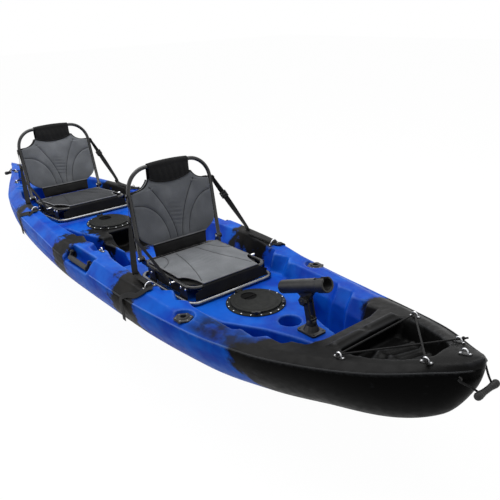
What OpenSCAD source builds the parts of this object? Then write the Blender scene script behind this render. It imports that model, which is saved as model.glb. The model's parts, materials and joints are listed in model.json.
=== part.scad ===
// Two seat sit on top fishing kayak with folding frame seats, deck hatches and a rod holder.
// Frame: +X to the bow, +Y to port, +Z up, origin on the ground under mid length.

/* [Hull] */
// overall hull length
hull_l = 3700; // [3300:10:4100]
// widest beam at the gunwale edge
hull_beam = 852; // [780:2:920]
// height of the gunwale deck at mid length
hull_depth = 400; // [370:2:430]
// moulded wall thickness
wall = 5; // [4:0.5:7]
// height of the cockpit floor above the keel
floor_z = 300; // [280:2:310]
// height of the rear cockpit floor over the front one
rear_step = 28; // [22:1:32]
// how far the rear seat and the floor under it lean back, degrees
rear_tilt = 5.5; // [4:0.5:7]
// distance from the front cockpit to the rear cockpit
pitch = 1245; // [1180:5:1300]
// radius of the drain holes through the hull
scupper_r = 14; // [10:0.5:18]

/* [Hatches] */
// radius of the hatch ring
hatch_r = 122; // [112:1:126]
// hatch centre along the hull, front one
hatch_x = 866; // [860:1:880]
// thickness of ring flange and of lid
hatch_t = 5; // [4:0.5:6]
// number of screws round each ring
hatch_screws_n = 18; // [12:6:24]

/* [Seats] */
// width over the backrest frame, tube centre to tube centre
seat_w = 431; // [400:1:450]
// depth of the seat base frame
seat_l = 405; // [380:1:420]
// seat tube radius
tube_r = 9; // [8:0.5:10]
// height of the seat base frame over the floor
seat_h = 64; // [60:1:72]
// height of the backrest pivot over the floor
pivot_h = 91; // [88:1:98]
// backrest length from the pivot to the top tube
back_l = 390; // [360:5:420]
// lean of the backrest
lean = 10; // [5:1:15]
// front edge of the front seat along the hull
seat_x = 729; // [720:1:732]
// webbing width
web_w = 25; // [20:1:30]
// webbing thickness
web_t = 1.6; // [1.2:0.1:2]

/* [Fittings] */
// radius of the shock cord
cord_r = 3; // [2:0.25:3.5]
// radius of the pad eye loop wire
eye_wire = 2.5; // [2:0.1:3]
// radius of the cup holder
cup_r = 44; // [38:1:48]
// depth of the cup holder
cup_d = 75; // [50:1:90]
// rod holder bore radius
rod_bore = 21; // [18:0.5:24]
// rod holder wall
rod_wall = 5; // [3:0.5:6]
// length of the rod holder tube
rod_l = 244; // [200:2:280]
// accessory port radius
port_r = 37; // [32:0.5:40]
// accessory port socket radius
port_bore = 12; // [10:0.5:14]
// moulded rod hole radius behind the rear seat
flush_r = 24; // [20:0.5:26]
// side handle grip radius
grip_r = 12; // [9:0.5:13]
// toggle grip length
toggle_l = 110; // [90:1:130]

/* [Fits] */
// running clearance of a pin in its bore
run_c = 0.05; // [0.02:0.01:0.1]
// gap kept between pieces that move past each other
gap = 0.4; // [0.3:0.05:0.6]

/* [Hidden] */
$fn = 48;
kx = hull_l / 3700;
ky = hull_beam / 852;
kz = hull_depth / 400;
half = seat_w / 2;
// hull lines by station: length, half beam, edge height, keel height, deck height, section power
lines = [
  [-1850, 5, 400, 380, 405, 2.0],
  [-1780, 24, 398, 235, 408, 2.0],
  [-1690, 58, 394, 160, 410, 2.0],
  [-1600, 92, 389, 112, 410, 2.0],
  [-1350, 198, 380, 66, 406, 2.0],
  [-1050, 305, 372, 32, 402, 2.0],
  [-750, 360, 367, 5, 400, 1.95],
  [-400, 396, 360, 0, 400, 1.95],
  [0, 426, 352, 0, 400, 1.8],
  [500, 420, 342, 0, 393, 1.77],
  [900, 384, 338, 15, 366, 1.75],
  [1200, 334, 353, 68, 371, 1.72],
  [1400, 279, 378, 122, 400, 1.75],
  [1600, 201, 413, 178, 431, 1.9],
  [1750, 105, 446, 262, 466, 2.05],
  [1830, 45, 465, 385, 487, 2.1],
  [1850, 5, 470, 463, 492, 2.1]];
nl = len(lines);
// stations of the outer skin and of the inner skin
skin_x = [-1850, -1838, -1812, -1770, -1700, -1600, -1480, -1350, -1200, -1050, -900, -750, -575, -400,
  -200, 0, 180, 350, 500, 620, 720, 820, 920, 1050, 1170, 1280, 1380, 1480, 1580, 1660, 1720, 1770,
  1805, 1830, 1844, 1850];
core_x = [-1735, -1600, -1450, -1300, -1150, -1000, -820, -600, -400, -200, 0, 200, 400, 560, 700,
  850, 1000, 1150, 1280, 1400, 1520, 1630, 1710, 1775];

function seg(x, i = 0) = (i >= nl - 2 || x < lines[i + 1][0]) ? i : seg(x, i + 1);
function dd(i, c) = (lines[i + 1][c] - lines[i][c]) / (lines[i + 1][0] - lines[i][0]);
function mid_slope(a, b) = a * b <= 0 ? 0 : 2 * a * b / (a + b);
function slope(i, c) = i == 0 ? dd(0, c) : i == nl - 1 ? dd(nl - 2, c) : mid_slope(dd(i - 1, c), dd(i, c));
function cubic(t, h, a, b, m, n) = a * (2*t*t*t - 3*t*t + 1) + h*m*(t*t*t - 2*t*t + t)
  + b * (3*t*t - 2*t*t*t) + h*n*(t*t*t - t*t);
function line_at(x, c) = let(q = x / kx, i = seg(q), h = lines[i + 1][0] - lines[i][0])
  cubic((q - lines[i][0]) / h, h, lines[i][c], lines[i + 1][c], slope(i, c), slope(i + 1, c));
function beam(x) = line_at(x, 1) * ky;
function edge_z(x) = line_at(x, 2) * kz;
function keel_z(x) = line_at(x, 3) * kz;
function top_z(x) = line_at(x, 4) * kz;
function shoulder(x) = min(45, beam(x) * 0.3);
function camber(x) = abs(x) > 1400 * kx ? 8 : 0;
function deck_z(x, y) = let(b = beam(x), s = shoulder(x), c = b - s, a = abs(y))
  a > c ? edge_z(x) + (top_z(x) - edge_z(x)) * (b - a) / s
  : a > c / 2 ? top_z(x) + camber(x) * 0.7 * (c - a) / (c / 2)
  : top_z(x) + camber(x) * (0.7 + 0.3 * (c / 2 - a) / (c / 2));

function side_ring(x, g) = let(b = max(beam(x) - g, 1), e = edge_z(x), k = keel_z(x) + g,
  p = 2 / line_at(x, 5), t = top_z(x) - g, s = shoulder(x), m = camber(x)) concat(
  [for (i = [1:7]) let(a = 90 * (1 - i / 8)) [b * pow(cos(a), p), e - (e - k) * pow(sin(a), i == 1 ? 0.12 * p : p)]],
  [[b, e], [b - s, t], [(b - s) / 2, t + m * 0.7]]);
function ring(x, g) = let(s = side_ring(x, g), n = len(s)) concat(
  [[x, 0, keel_z(x) + g]],
  [for (i = [0:n - 1]) [x, s[i][0], s[i][1]]],
  [[x, 0, top_z(x) - g + camber(x)]],
  [for (i = [n - 1:-1:0]) [x, -s[i][0], s[i][1]]]);

// skin through a list of closed rings that run along X
module loft(rings) {
  n = len(rings[0]);
  m = len(rings);
  polyhedron(
    points = [for (r = rings) each r],
    faces = concat(
      [[for (k = [0:n - 1]) k]],
      [[for (k = [n - 1:-1:0]) (m - 1) * n + k]],
      [for (i = [0:m - 2]) for (k = [0:n - 1]) [(i+1)*n + k, (i+1)*n + (k+1)%n, i*n + (k+1)%n]],
      [for (i = [0:m - 2]) for (k = [0:n - 1]) [(i+1)*n + k, i*n + (k+1)%n, i*n + k]]));
}

// well cut down from above: x, left and right at its floor, left and right at its top, floor, top
module trough(rows, g) {
  m = len(rows) - 1;
  loft([for (i = [0:m]) let(r = rows[i], x = r[0] + (i == 0 ? -g : i == m ? g : 0)) [
    [x * kx, (r[1] - g) * ky, r[5] - g],
    [x * kx, (r[2] + g) * ky, r[5] - g],
    [x * kx, (r[4] + g) * ky, r[6]],
    [x * kx, (r[3] - g) * ky, r[6]]]]);
}

// top and foot of the ramp under the rear seat
ramp_x = seat_x - pitch + 11;
seat_c = 9;
seat_end = seat_x - pitch - (seat_l + tube_r) / kx;
ramp_end = min(-950, seat_end - seat_c);
// long cockpit recess: x, half width at the floor, half width at the deck
cockpit = [
  [-1105, 150, 170], [-1080, 196, 220], [-950, 234, 258], [-780, 240, 272], [ramp_x - 95, 246, 284],
  [ramp_x, 248, 294], [ramp_x + 2.5, 248.5, 295], [ramp_x + 55, 250, 300], [-200, 252, 304], [-186, 252, 303], [-168, 252, 301], [-150, 252, 299],
  [-122, 252, 305], [-104, 246, 276], [-30, 250, 298], [25, 244, 285], [60, 258, 325],
  [112, 258, 334], [146, 240, 280], [240, 262, 310], [430, 266, 318], [575, 260, 302],
  [619, 256, 297], [646, 262, 311], [676, 246, 267], [742, 258, 306], [776, 244, 266],
  [812, 246, 277], [930, 241, 275], [1060, 232, 276], [1082, 214, 250], [1155, 216, 257],
  [1180, 184, 217], [1258, 184, 221], [1278, 158, 189], [1335, 146, 180], [1356, 90, 110]];
// the floor steps up behind the rear console, then rises to a ramp that falls back under the rear seat
step_x = -180;
ramp_rise = 13;
function ramp(x) = floor_z + rear_step + ramp_rise - (ramp_x - max(x, ramp_end)) * kx * tan(rear_tilt);
function floor_at(x) = x > step_x ? floor_z : x > ramp_x + 2 ? floor_z + rear_step : ramp(x);
cockpit_top = 470;
function lift(r) = let(f = floor_at(r[0])) r[1] + (r[2] - r[1]) * (cockpit_top - f) / (top_z(r[0] * kx) - f);
// foot wells either side of the console: x, inner and outer at the floor, inner and outer at the top, floor
well_top = floor_z + 12;
foot_front = [
  [790, 222, 234, 214, 246, 185], [900, 206, 228, 200, 242, 150], [950, 180, 226, 170, 240, 140],
  [1050, 126, 218, 114, 234, 138], [1080, 114, 204, 102, 218, 138], [1155, 88, 200, 76, 218, 140],
  [1180, 80, 170, 68, 188, 142], [1258, 64, 166, 52, 186, 150], [1278, 62, 142, 49, 160, 154],
  [1320, 62, 130, 48, 148, 168], [1342, 72, 100, 54, 128, 195]];
foot_mid = [
  [-455, 224, 236, 216, 250, 185], [-345, 204, 240, 196, 256, 150], [-200, 156, 242, 146, 258, 138],
  [-120, 140, 242, 128, 260, 134], [0, 128, 242, 116, 260, 132], [26, 126, 230, 114, 248, 132],
  [60, 125, 240, 113, 262, 132], [108, 125, 238, 113, 262, 134], [140, 132, 212, 114, 240, 145],
  [165, 144, 190, 122, 220, 170]];
function with_top(rows, top) = [for (r = rows) [r[0], r[1], r[2], r[3], r[4], r[5], top]];
// lower floor between the rear console and the front seat
drop = [
  [-165, -112, 112, -116, 116, 297, 330], [-70, -112, 112, -118, 118, 246, 330],
  [140, -112, 112, -118, 118, 240, 330], [172, -104, 104, -118, 118, 270, 330]];
// tank wells at the ends: x, half width at the floor, half width at the deck, floor
stern_well = [
  [-1585, 28, 40, 300], [-1555, 48, 60, 285], [-1350, 112, 130, 270], [-1250, 138, 160, 268],
  [-1222, 118, 140, 275]];
bow_well = [
  [1452, 126, 146, 348], [1472, 138, 160, 346], [1560, 116, 140, 352], [1640, 80, 102, 364],
  [1696, 44, 62, 382], [1714, 20, 38, 392]];
function flare(r) = r[1] + (r[2] - r[1]) * (500 - r[3]) / (top_z(r[0] * kx) - r[3]);
function end_rows(rows) = [for (r = rows) [r[0], -r[1], r[1], -flare(r), flare(r), r[3], 500]];

// places of the deck fittings: x and y to port, each with its twin to starboard
bow_eyes = [[1485, 190], [1718, 82]];
mid_eyes = [[149, 306]];
stern_eyes = [[-1290, 168], [-1545, 76]];
tip_eyes = [[1788, 0], [-1640, 0]];
strap_eye = [604, 333];
strap_eyes = [strap_eye, [strap_eye[0] - pitch, 302]];
ports = [[861, 345]];
flush_x = -1166;
flush_y = 176;
flush_d = 150;
plug_x = -1700;
scuppers = [[1080, 160], [60, 185], [-1300, 70]];
coaming_x = 1424;
coaming_y = 84;
coaming_l = 136;
coaming_r = 15;
cup_x = 1066;
rod_x = 1180;
rod_base_h = 8;
handle_x = 97;
handle_l = 235;
handle_y = 388;
handle_z = 378;
handle_arm = 8;
pin_r = 4;
hinge_pin = 2.5;
screw_r = 2;
head_r = 3.6;
head_h = 1.6;
screw_c = 0.1;
pocket = 2;
eye_l = 44;
eye_w = 16;
eye_h = 4;
eye_ring = 9;
eye_leg = 5;
strap_eye_l = 62;
strap_ring = 17;
lid_r = hatch_r - 18;
collar_r = hatch_r - 27;
lid_z = hatch_t + 3;
lid_top = lid_z + hatch_t;
hinge_x = -(hatch_r - 12);
hinge_z = 11;
latch_a = 40;
latch_at = hatch_r - 9;
latch_arm = 18;
toggle_r = 12;
loop_r = 3.2;
cord_c = 0.3;
bow_hole = [1812, 440];
bow_grip = [1865, 403];
stern_hole = [-1808, 368];
stern_grip = [-1865, 335];
toggle_leg = 34;
base_y = half - 19.5;
bracket_t = 4;
skid_y = base_y + 2 + 2 * tube_r;
eye_in = base_y + tube_r + 1.5;
eye_out = half + tube_r + 0.5;
back_piv = -seat_l + 16;
elbow = 105;
sling_r = 46 - tube_r;
side_v = back_l - elbow;
tab_v = 275;
limit_x = back_piv + 250;
tilt_x = -20;
tilt_z = 125;
tilt_r = 5;
tube_tilt = 21;
tube_up = 50;
tang = 8.6;
// the recess stays clear of the seats: rows beside a seat are at least as wide as its skid
seat_room = (skid_y + tube_r + seat_c) / ky;
function widen(r) = r[0] < -960 || r[0] > 790 ? 0 : max(0, seat_room - r[1]);
cockpit_rows = [for (r = cockpit) [r[0] == -950 ? ramp_end : r[0], r[1] + widen(r), r[2] + widen(r)]];

module two_sides() {
  children();
  mirror([0, 1, 0]) children();
}
// places a piece on the deck, tilted to lie on it
module on_deck(x, y) {
  e = 6;
  sx = (deck_z(x + e, y) - deck_z(x - e, y)) / (2 * e);
  sy = (deck_z(x, y + e) - deck_z(x, y - e)) / (2 * e);
  l1 = sqrt(1 + sx * sx);
  nz = sqrt(1 + sx * sx + sy * sy);
  multmatrix([
    [1 / l1, -sx * sy / (l1 * nz), -sx / nz, x],
    [0, l1 / nz, -sy / nz, y],
    [sx / l1, sy / (l1 * nz), 1 / nz, deck_z(x, y)],
    [0, 0, 0, 1]]) children();
}
module at_eyes() {
  for (p = concat(bow_eyes, mid_eyes, stern_eyes)) {
    on_deck(p[0] * kx, p[1] * ky) children();
    on_deck(p[0] * kx, -p[1] * ky) children();
  }
  for (p = tip_eyes) on_deck(p[0] * kx, 0) children();
}
module at_strap_eyes() {
  for (p = strap_eyes) {
    on_deck(p[0] * kx, p[1] * ky) children();
    on_deck(p[0] * kx, -p[1] * ky) children();
  }
}
module at_ports() {
  for (p = ports) for (s = [-1, 1]) translate([p[0] * kx, s * p[1] * ky, port_z]) children();
}
port_z = deck_z(ports[0][0] * kx, (ports[0][1] + port_r - 14) * ky);
module at_hatch(i) {
  translate([(hatch_x - i * pitch) * kx, 0, floor_z + i * rear_step]) children();
}
module at_seat(i) {
  if (i == 0) translate([seat_x * kx, 0, floor_z]) children();
  else translate([ramp_x * kx, 0, ramp(ramp_x)]) rotate([0, -rear_tilt, 0])
    translate([(seat_x - pitch - ramp_x) * kx, 0, 0]) children();
}
// a point of a seat, in the frame of the boat
function on_seat(i, p) = i == 0 ? [p[0] + seat_x * kx, p[1], p[2] + floor_z]
  : let(x = p[0] + (seat_x - pitch - ramp_x) * kx) [ramp_x * kx + x * cos(rear_tilt) - p[2] * sin(rear_tilt),
    p[1], ramp(ramp_x) + x * sin(rear_tilt) + p[2] * cos(rear_tilt)];
module at_rod() {
  translate([rod_x * kx, 0, floor_z]) children();
}
module at_handle() {
  translate([handle_x * kx, handle_y * ky, handle_z * kz]) children();
}
module at_flush(s) {
  translate([flush_x * kx, s * flush_y * ky, top_z(flush_x * kx)]) rotate([0, -8, 0]) children();
}
module pill(l, w, h) {
  for (s = [-1, 1]) translate([s * (l - w) / 2, 0, 0]) cylinder(r = w / 2, h = h);
  translate([-(l - w) / 2, -w / 2, 0]) cube([l - w, w, h]);
}
module bar(a, b, r) {
  d = b - a;
  l = norm(d);
  translate(a) rotate([0, acos(d[2] / l), atan2(d[1], d[0])]) cylinder(r = r, h = l);
}

// everything cut out of the hull from outside, grown by g for the inner skin
module cuts(g) {
  trough([for (r = cockpit_rows) [r[0], -r[1], r[1], -lift(r), lift(r), floor_at(r[0]), cockpit_top]], g);
  two_sides() trough(with_top(foot_front, well_top), g);
  two_sides() trough(with_top(foot_mid, well_top + rear_step), g);
  trough(drop, g);
  trough(end_rows(stern_well), g);
  trough(end_rows(bow_well), g);
  translate([-240 * kx - g, 0, floor_z + 8]) rotate([0, 96, 0]) cylinder(r = 84 + g, h = 150 + 2 * g);
  translate([cup_x * kx, 0, floor_z - cup_d - g]) cylinder(r = cup_r + g, h = cup_d + 20);
  for (s = [-1, 1]) at_flush(s) translate([0, 0, -flush_d - g]) cylinder(r = flush_r + g, h = flush_d + 40);
  two_sides() at_handle() translate([-handle_l / 2 - g, -28 - g, -40 - g])
    cube([handle_l + 2 * g, 120, 120]);
  at_eyes() translate([0, 0, -pocket - g]) pill(eye_l + 2 + 2 * g, eye_w + 2 + 2 * g, 20);
  at_strap_eyes() rotate(90) translate([0, 0, -pocket - g])
    pill(strap_eye_l + 2 + 2 * g, eye_w + 2 + 2 * g, 20);
  at_ports() translate([0, 0, -g]) cylinder(r = port_r + 2 + g, h = 60);
  at_ports() translate([0, 0, -26 - g]) cylinder(r = port_bore + 5 + g, h = 60);
}

module hull_shell() {
  color([0.10, 0.32, 0.82]) difference() {
    union() {
      loft([for (x = skin_x) ring(x * kx, 0)]);
      for (s = [-1, 1]) translate([coaming_x * kx, s * coaming_y * ky, top_z(coaming_x * kx) - 2]) rotate([90, 0, 0])
        translate([0, 0, -coaming_l / 2]) cylinder(r = coaming_r, h = coaming_l);
      for (s = [-1, 1]) at_flush(s) translate([0, 0, -12]) cylinder(r = flush_r + 7, h = 16);
    }
    cuts(0);
    difference() {
      loft([for (x = core_x) ring(x * kx, wall)]);
      cuts(wall);
      two_sides() for (p = scuppers) translate([p[0] * kx, p[1] * ky, -5])
        cylinder(r = scupper_r + wall, h = floor_z);
      translate([plug_x * kx, 0, 340]) cylinder(r = 18, h = 80);
    }
    two_sides() for (p = scuppers) translate([p[0] * kx, p[1] * ky, -20])
      cylinder(r = scupper_r, h = floor_z + 10);
    for (i = [0, 1]) at_hatch(i) translate([0, 0, -40]) cylinder(r = collar_r + gap, h = 60);
    translate([bow_hole[0] * kx, 200, bow_hole[1] * kz]) rotate([90, 0, 0]) cylinder(r = loop_r + cord_c, h = 400);
    translate([stern_hole[0] * kx, 200, stern_hole[1] * kz]) rotate([90, 0, 0])
      cylinder(r = loop_r + cord_c, h = 400);
    translate([plug_x * kx, 0, plug_z]) cylinder(r = 18, h = 60);
    translate([plug_x * kx, 0, plug_z - 24]) cylinder(r = 9 + run_c, h = 60);
  }
}
plug_z = deck_z(plug_x * kx, 18) - 3;

module screw(l) {
  cylinder(r1 = head_r, r2 = head_r * 0.6, h = head_h);
  translate([0, 0, -l]) cylinder(r = screw_r, h = l);
}
module hatch_ring(i) {
  color([0.13, 0.13, 0.13]) at_hatch(i) difference() {
    union() {
      rotate_extrude() polygon([[collar_r - 5, -22], [collar_r, -22], [collar_r, 0], [hatch_r - 1, 0],
        [hatch_r, 1], [hatch_r, hatch_t - 2], [hatch_r - 2, hatch_t], [collar_r - 5, hatch_t]]);
      for (s = [-1, 1]) translate([hinge_x - 6, s * 13.5 - 2.5, hatch_t]) cube([12, 5, hinge_z + 6 - hatch_t]);
      translate([hinge_x, 16, hinge_z]) rotate([90, 0, 0]) cylinder(r = hinge_pin, h = 32);
    }
    for (k = [0:hatch_screws_n - 1]) rotate((k + 0.5) * 360 / hatch_screws_n)
      translate([hatch_r - 7, 0, -1]) cylinder(r = screw_r + screw_c, h = 20);
    for (s = [-1, 1]) rotate(s * latch_a) translate([latch_at, 0, -1]) cylinder(r = 3 + run_c, h = 20);
  }
}
module hatch_screws() {
  color([0.75, 0.76, 0.78]) for (i = [0, 1]) at_hatch(i) for (k = [0:hatch_screws_n - 1])
    rotate((k + 0.5) * 360 / hatch_screws_n) translate([hatch_r - 7, 0, hatch_t]) screw(hatch_t);
}
module hatch_seal(i) {
  color([0.55, 0.56, 0.56]) at_hatch(i) rotate_extrude() translate([collar_r + 3, hatch_t])
    polygon([[-4, 0], [4, 0], [4, 1], [1.5, 2.6], [-1.5, 2.6], [-4, 1]]);
}
module hatch_lid(i) {
  color([0.22, 0.22, 0.21]) at_hatch(i) difference() {
    union() {
      rotate_extrude() polygon([[0, lid_z], [collar_r - 11, lid_z], [collar_r - 10, -4], [collar_r - 7, -4],
        [collar_r - 7, lid_z], [lid_r, lid_z], [lid_r, lid_top - 2], [lid_r - 2, lid_top],
        [lid_r - 14, lid_top], [lid_r - 15, lid_top + 1], [lid_r - 20, lid_top + 1], [lid_r - 21, lid_top],
        [0, lid_top]]);
      translate([hinge_x, 10.5, hinge_z]) rotate([90, 0, 0]) cylinder(r = 5.5, h = 21);
      translate([hinge_x, -10.5, hinge_z - 2.5]) cube([18, 21, 4.5]);
    }
    translate([hinge_x, 20, hinge_z]) rotate([90, 0, 0]) cylinder(r = hinge_pin + run_c, h = 40);
    for (s = [-1, 1]) translate([hinge_x - 10, s * 13.75 - 2.85, lid_z - 10]) cube([20, 5.7, 40]);
    difference() {
      translate([-46, 0, lid_top - 3.4]) cylinder(r = 33, h = 20);
      translate([-52, -40, lid_top - 4]) cube([12, 80, 3.4]);
    }
  }
}
module hatch_latch(i, s) {
  color([0.06, 0.06, 0.06]) at_hatch(i) rotate(s * latch_a) translate([latch_at, 0, 0]) {
    translate([0, 0, 0.5]) cylinder(r = 3, h = 18);
    translate([0, 0, hatch_t + gap]) cylinder(r = 6, h = lid_top + gap - hatch_t);
    translate([0, 0, lid_top + gap]) rotate(90) pill(2 * latch_arm, 9, 4);
    translate([0, 0, lid_top + gap + 4]) cylinder(r1 = 6, r2 = 4, h = 3);
  }
}
module pad_eyes() {
  color([0.07, 0.07, 0.07]) at_eyes() translate([0, 0, -pocket]) difference() {
    pill(eye_l, eye_w, eye_h);
    for (s = [-1, 1]) translate([s * 16, 0, -1]) cylinder(r = screw_r + screw_c, h = 20);
  }
  color([0.07, 0.07, 0.07]) at_strap_eyes() rotate(90) translate([0, 0, -pocket]) difference() {
    pill(strap_eye_l, eye_w, eye_h);
    for (s = [-1, 1]) translate([s * 25, 0, -1]) cylinder(r = screw_r + screw_c, h = 20);
  }
}
module eye_loop(r) {
  translate([0, 0, eye_h + eye_leg]) rotate([90, 0, 0]) rotate_extrude(angle = 180, $fn = 40)
    translate([r, 0]) circle(r = eye_wire, $fn = 20);
  for (s = [-1, 1]) translate([s * r, 0, eye_h]) cylinder(r = eye_wire, h = eye_leg);
}
module pad_eye_loops() {
  color([0.72, 0.73, 0.75]) at_eyes() translate([0, 0, -pocket]) eye_loop(eye_ring);
  color([0.72, 0.73, 0.75]) at_strap_eyes() rotate(90) translate([0, 0, -pocket]) eye_loop(strap_ring);
}
module pad_eye_screws() {
  color([0.75, 0.76, 0.78]) at_eyes() for (s = [-1, 1]) translate([s * 16, 0, eye_h - pocket]) screw(eye_h);
  color([0.75, 0.76, 0.78]) at_strap_eyes() rotate(90) for (s = [-1, 1])
    translate([s * 25, 0, eye_h - pocket]) screw(eye_h);
}
// centre of the opening of a pad eye, which leans with the deck
function lean_x(x, y) = (deck_z(x + 6, y) - deck_z(x - 6, y)) / 12;
function lean_y(x, y) = (deck_z(x, y + 6) - deck_z(x, y - 6)) / 12;
function deck_up(x, y) = let(n = [-lean_x(x, y), -lean_y(x, y), 1]) n / norm(n);
function eye_mid(p, s) = let(x = p[0] * kx, y = s * p[1] * ky)
  [x, y, deck_z(x, y)] + deck_up(x, y) * (eye_h - pocket + 7);
module cord_x(a, b) {
  p = [eye_mid(b, -1), eye_mid(a, 1), eye_mid(a, -1), eye_mid(b, 1)];
  for (i = [0:2]) bar(p[i], p[i + 1], cord_r);
  for (q = p) translate(q) sphere(r = cord_r + 0.3, $fn = 24);
  for (i = [0, 3]) let(d = p[i] - p[i == 0 ? 1 : 2]) {
    bar(p[i], p[i] + d * 11 / norm(d), cord_r - 0.2);
    translate(p[i] + d * 13 / norm(d)) sphere(r = 2 * cord_r, $fn = 24);
  }
}
module bow_bungee() {
  color([0.05, 0.05, 0.05]) cord_x(bow_eyes[0], bow_eyes[1]);
}
module stern_bungee() {
  color([0.05, 0.05, 0.05]) cord_x(stern_eyes[0], stern_eyes[1]);
}
function swing(h, p) = [(p[0] - h[0]) * kx, 0, (p[1] - h[1]) * kz];
function leg_step(h, p, w) = let(f = norm(swing(h, p)) - 9) [w - toggle_leg, -f] / norm([w - toggle_leg, f]) * 6;
module toggle_grip(h, p, w) {
  o = [h[0] * kx, 0, h[1] * kz];
  e = swing(h, p) / norm(swing(h, p));
  f = norm(swing(h, p)) - 9;
  q = leg_step(h, p, w);
  color([0.06, 0.06, 0.06]) difference() {
    translate([p[0] * kx, 0, p[1] * kz]) rotate([90, 0, 0]) rotate_extrude()
      polygon([[0, -toggle_l / 2], [8, -toggle_l / 2], [11, 4 - toggle_l / 2], [toggle_r, 14 - toggle_l / 2],
        [9, -16], [9, 16], [toggle_r, toggle_l / 2 - 14], [11, toggle_l / 2 - 4], [8, toggle_l / 2],
        [0, toggle_l / 2]]);
    two_sides() bar(o + [0, toggle_leg, 0] + e * (f + 0.6), o + [0, w - q[0], 0] - e * q[1], loop_r + cord_c);
  }
}
// round cord along a flat route, with the normal of the plane that it lies in
module cord_tube(pts, u, r) {
  m = len(pts) - 1;
  loft([for (i = [0:m]) let(d = pts[min(i + 1, m)] - pts[max(i - 1, 0)], t = d / norm(d), v = cross(t, u))
    [for (k = [0:9]) pts[i] + r * (u * cos(36 * k) + v * sin(36 * k))]]);
}
module toggle_cord(h, p, w) {
  o = [h[0] * kx, 0, h[1] * kz];
  e = swing(h, p) / norm(swing(h, p));
  f = norm(swing(h, p)) - 9;
  n = cross([0, 1, 0], e);
  q = leg_step(h, p, w);
  half_route = [[toggle_leg, f], [w - q[0], -q[1]], [w - 0.5, 0.8], [w - 6, 0], [w / 2, 0]];
  flat = concat(half_route, [for (k = [4:-1:0]) [-half_route[k][0], half_route[k][1]]]);
  color([0.05, 0.05, 0.05]) cord_tube([for (c = flat) o + [0, c[0], 0] + e * c[1]], n, loop_r);
}
bow_w = beam(bow_hole[0] * kx) + 4;
stern_w = 30;
module bow_toggle() {
  toggle_grip(bow_hole, bow_grip, bow_w);
}
module bow_toggle_cord() {
  toggle_cord(bow_hole, bow_grip, bow_w);
}
module stern_toggle() {
  toggle_grip(stern_hole, stern_grip, stern_w);
}
module stern_toggle_cord() {
  toggle_cord(stern_hole, stern_grip, stern_w);
}
module handle_grip(s) {
  color([0.06, 0.06, 0.06]) scale([1, s, 1]) at_handle() difference() {
    union() {
      translate([-handle_l / 2 + 30, 14, -24]) rotate([0, 90, 0]) cylinder(r = grip_r, h = handle_l - 60);
      for (k = [-1, 1]) translate([k * (handle_l / 2 - 30) - handle_arm / 2, 0, 0]) {
        rotate([0, 90, 0]) cylinder(r = 9, h = handle_arm);
        translate([1, 14, -24]) rotate([0, 90, 0]) cylinder(r = 10, h = handle_arm - 2);
        rotate([-59.7, 0, 0]) translate([0.6, 0, -7.5]) cube([handle_arm - 1.2, 27, 15]);
      }
    }
    translate([-handle_l / 2, 0, 0]) rotate([0, 90, 0]) cylinder(r = pin_r + run_c, h = handle_l);
  }
}
module handle_pins() {
  color([0.7, 0.71, 0.73]) two_sides() at_handle() for (k = [0, 1]) mirror([k, 0, 0]) {
    translate([-handle_l / 2, 0, 0]) rotate([0, 90, 0]) cylinder(r = pin_r, h = 40);
    translate([-handle_l / 2, 0, 0]) rotate([0, 90, 0]) cylinder(r = 8, h = 6);
    translate([-handle_l / 2 + 36, 0, 0]) rotate([0, 90, 0]) cylinder(r1 = 7, r2 = 4, h = 5);
  }
}
module accessory_ports() {
  color([0.08, 0.08, 0.08]) at_ports() difference() {
    union() {
      cylinder(r = port_r - 5, h = 7);
      for (k = [0:5]) rotate(k * 60) translate([port_r - 10, 0, 0]) cylinder(r = 10, h = 7);
      translate([0, 0, 7]) cylinder(r1 = port_bore + 9, r2 = port_bore + 6, h = 5);
      translate([0, 0, -24]) cylinder(r = port_bore + 4, h = 26);
    }
    translate([0, 0, -20]) cylinder(r = port_bore, h = 60);
    for (k = [0:5]) rotate(k * 60) translate([port_r - 9, 0, -1]) cylinder(r = screw_r + screw_c, h = 20);
  }
}
module port_screws() {
  color([0.75, 0.76, 0.78]) at_ports() for (k = [0:5]) rotate(k * 60)
    translate([port_r - 9, 0, 7]) screw(7);
}
module drain_plug() {
  color([0.06, 0.06, 0.06]) translate([plug_x * kx, 0, plug_z + run_c]) difference() {
    union() {
      cylinder(r1 = 15, r2 = 13.5, h = 7);
      translate([0, 0, -20]) cylinder(r = 9, h = 22);
    }
    translate([-20, -1.6, 4]) cube([40, 3.2, 10]);
  }
}
module rod_base() {
  color([0.07, 0.07, 0.07]) at_rod() difference() {
    union() {
      for (x = [-33, 33]) for (y = [-23, 23]) translate([x, y, 0]) cylinder(r = 12, h = rod_base_h);
      translate([-45, -23, 0]) cube([90, 46, rod_base_h]);
      translate([-33, -35, 0]) cube([66, 70, rod_base_h]);
      translate([0, 0, rod_base_h]) cylinder(r1 = 30, r2 = 21, h = 22);
    }
    translate([0, 0, 12]) cylinder(r = 10 + run_c, h = 40);
    for (x = [-35, 35]) for (y = [-25, 25]) translate([x, y, -1]) cylinder(r = screw_r + screw_c, h = 20);
  }
}
module rod_screws() {
  color([0.75, 0.76, 0.78]) at_rod() for (x = [-35, 35]) for (y = [-25, 25])
    translate([x, y, rod_base_h]) screw(rod_base_h);
}
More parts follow.
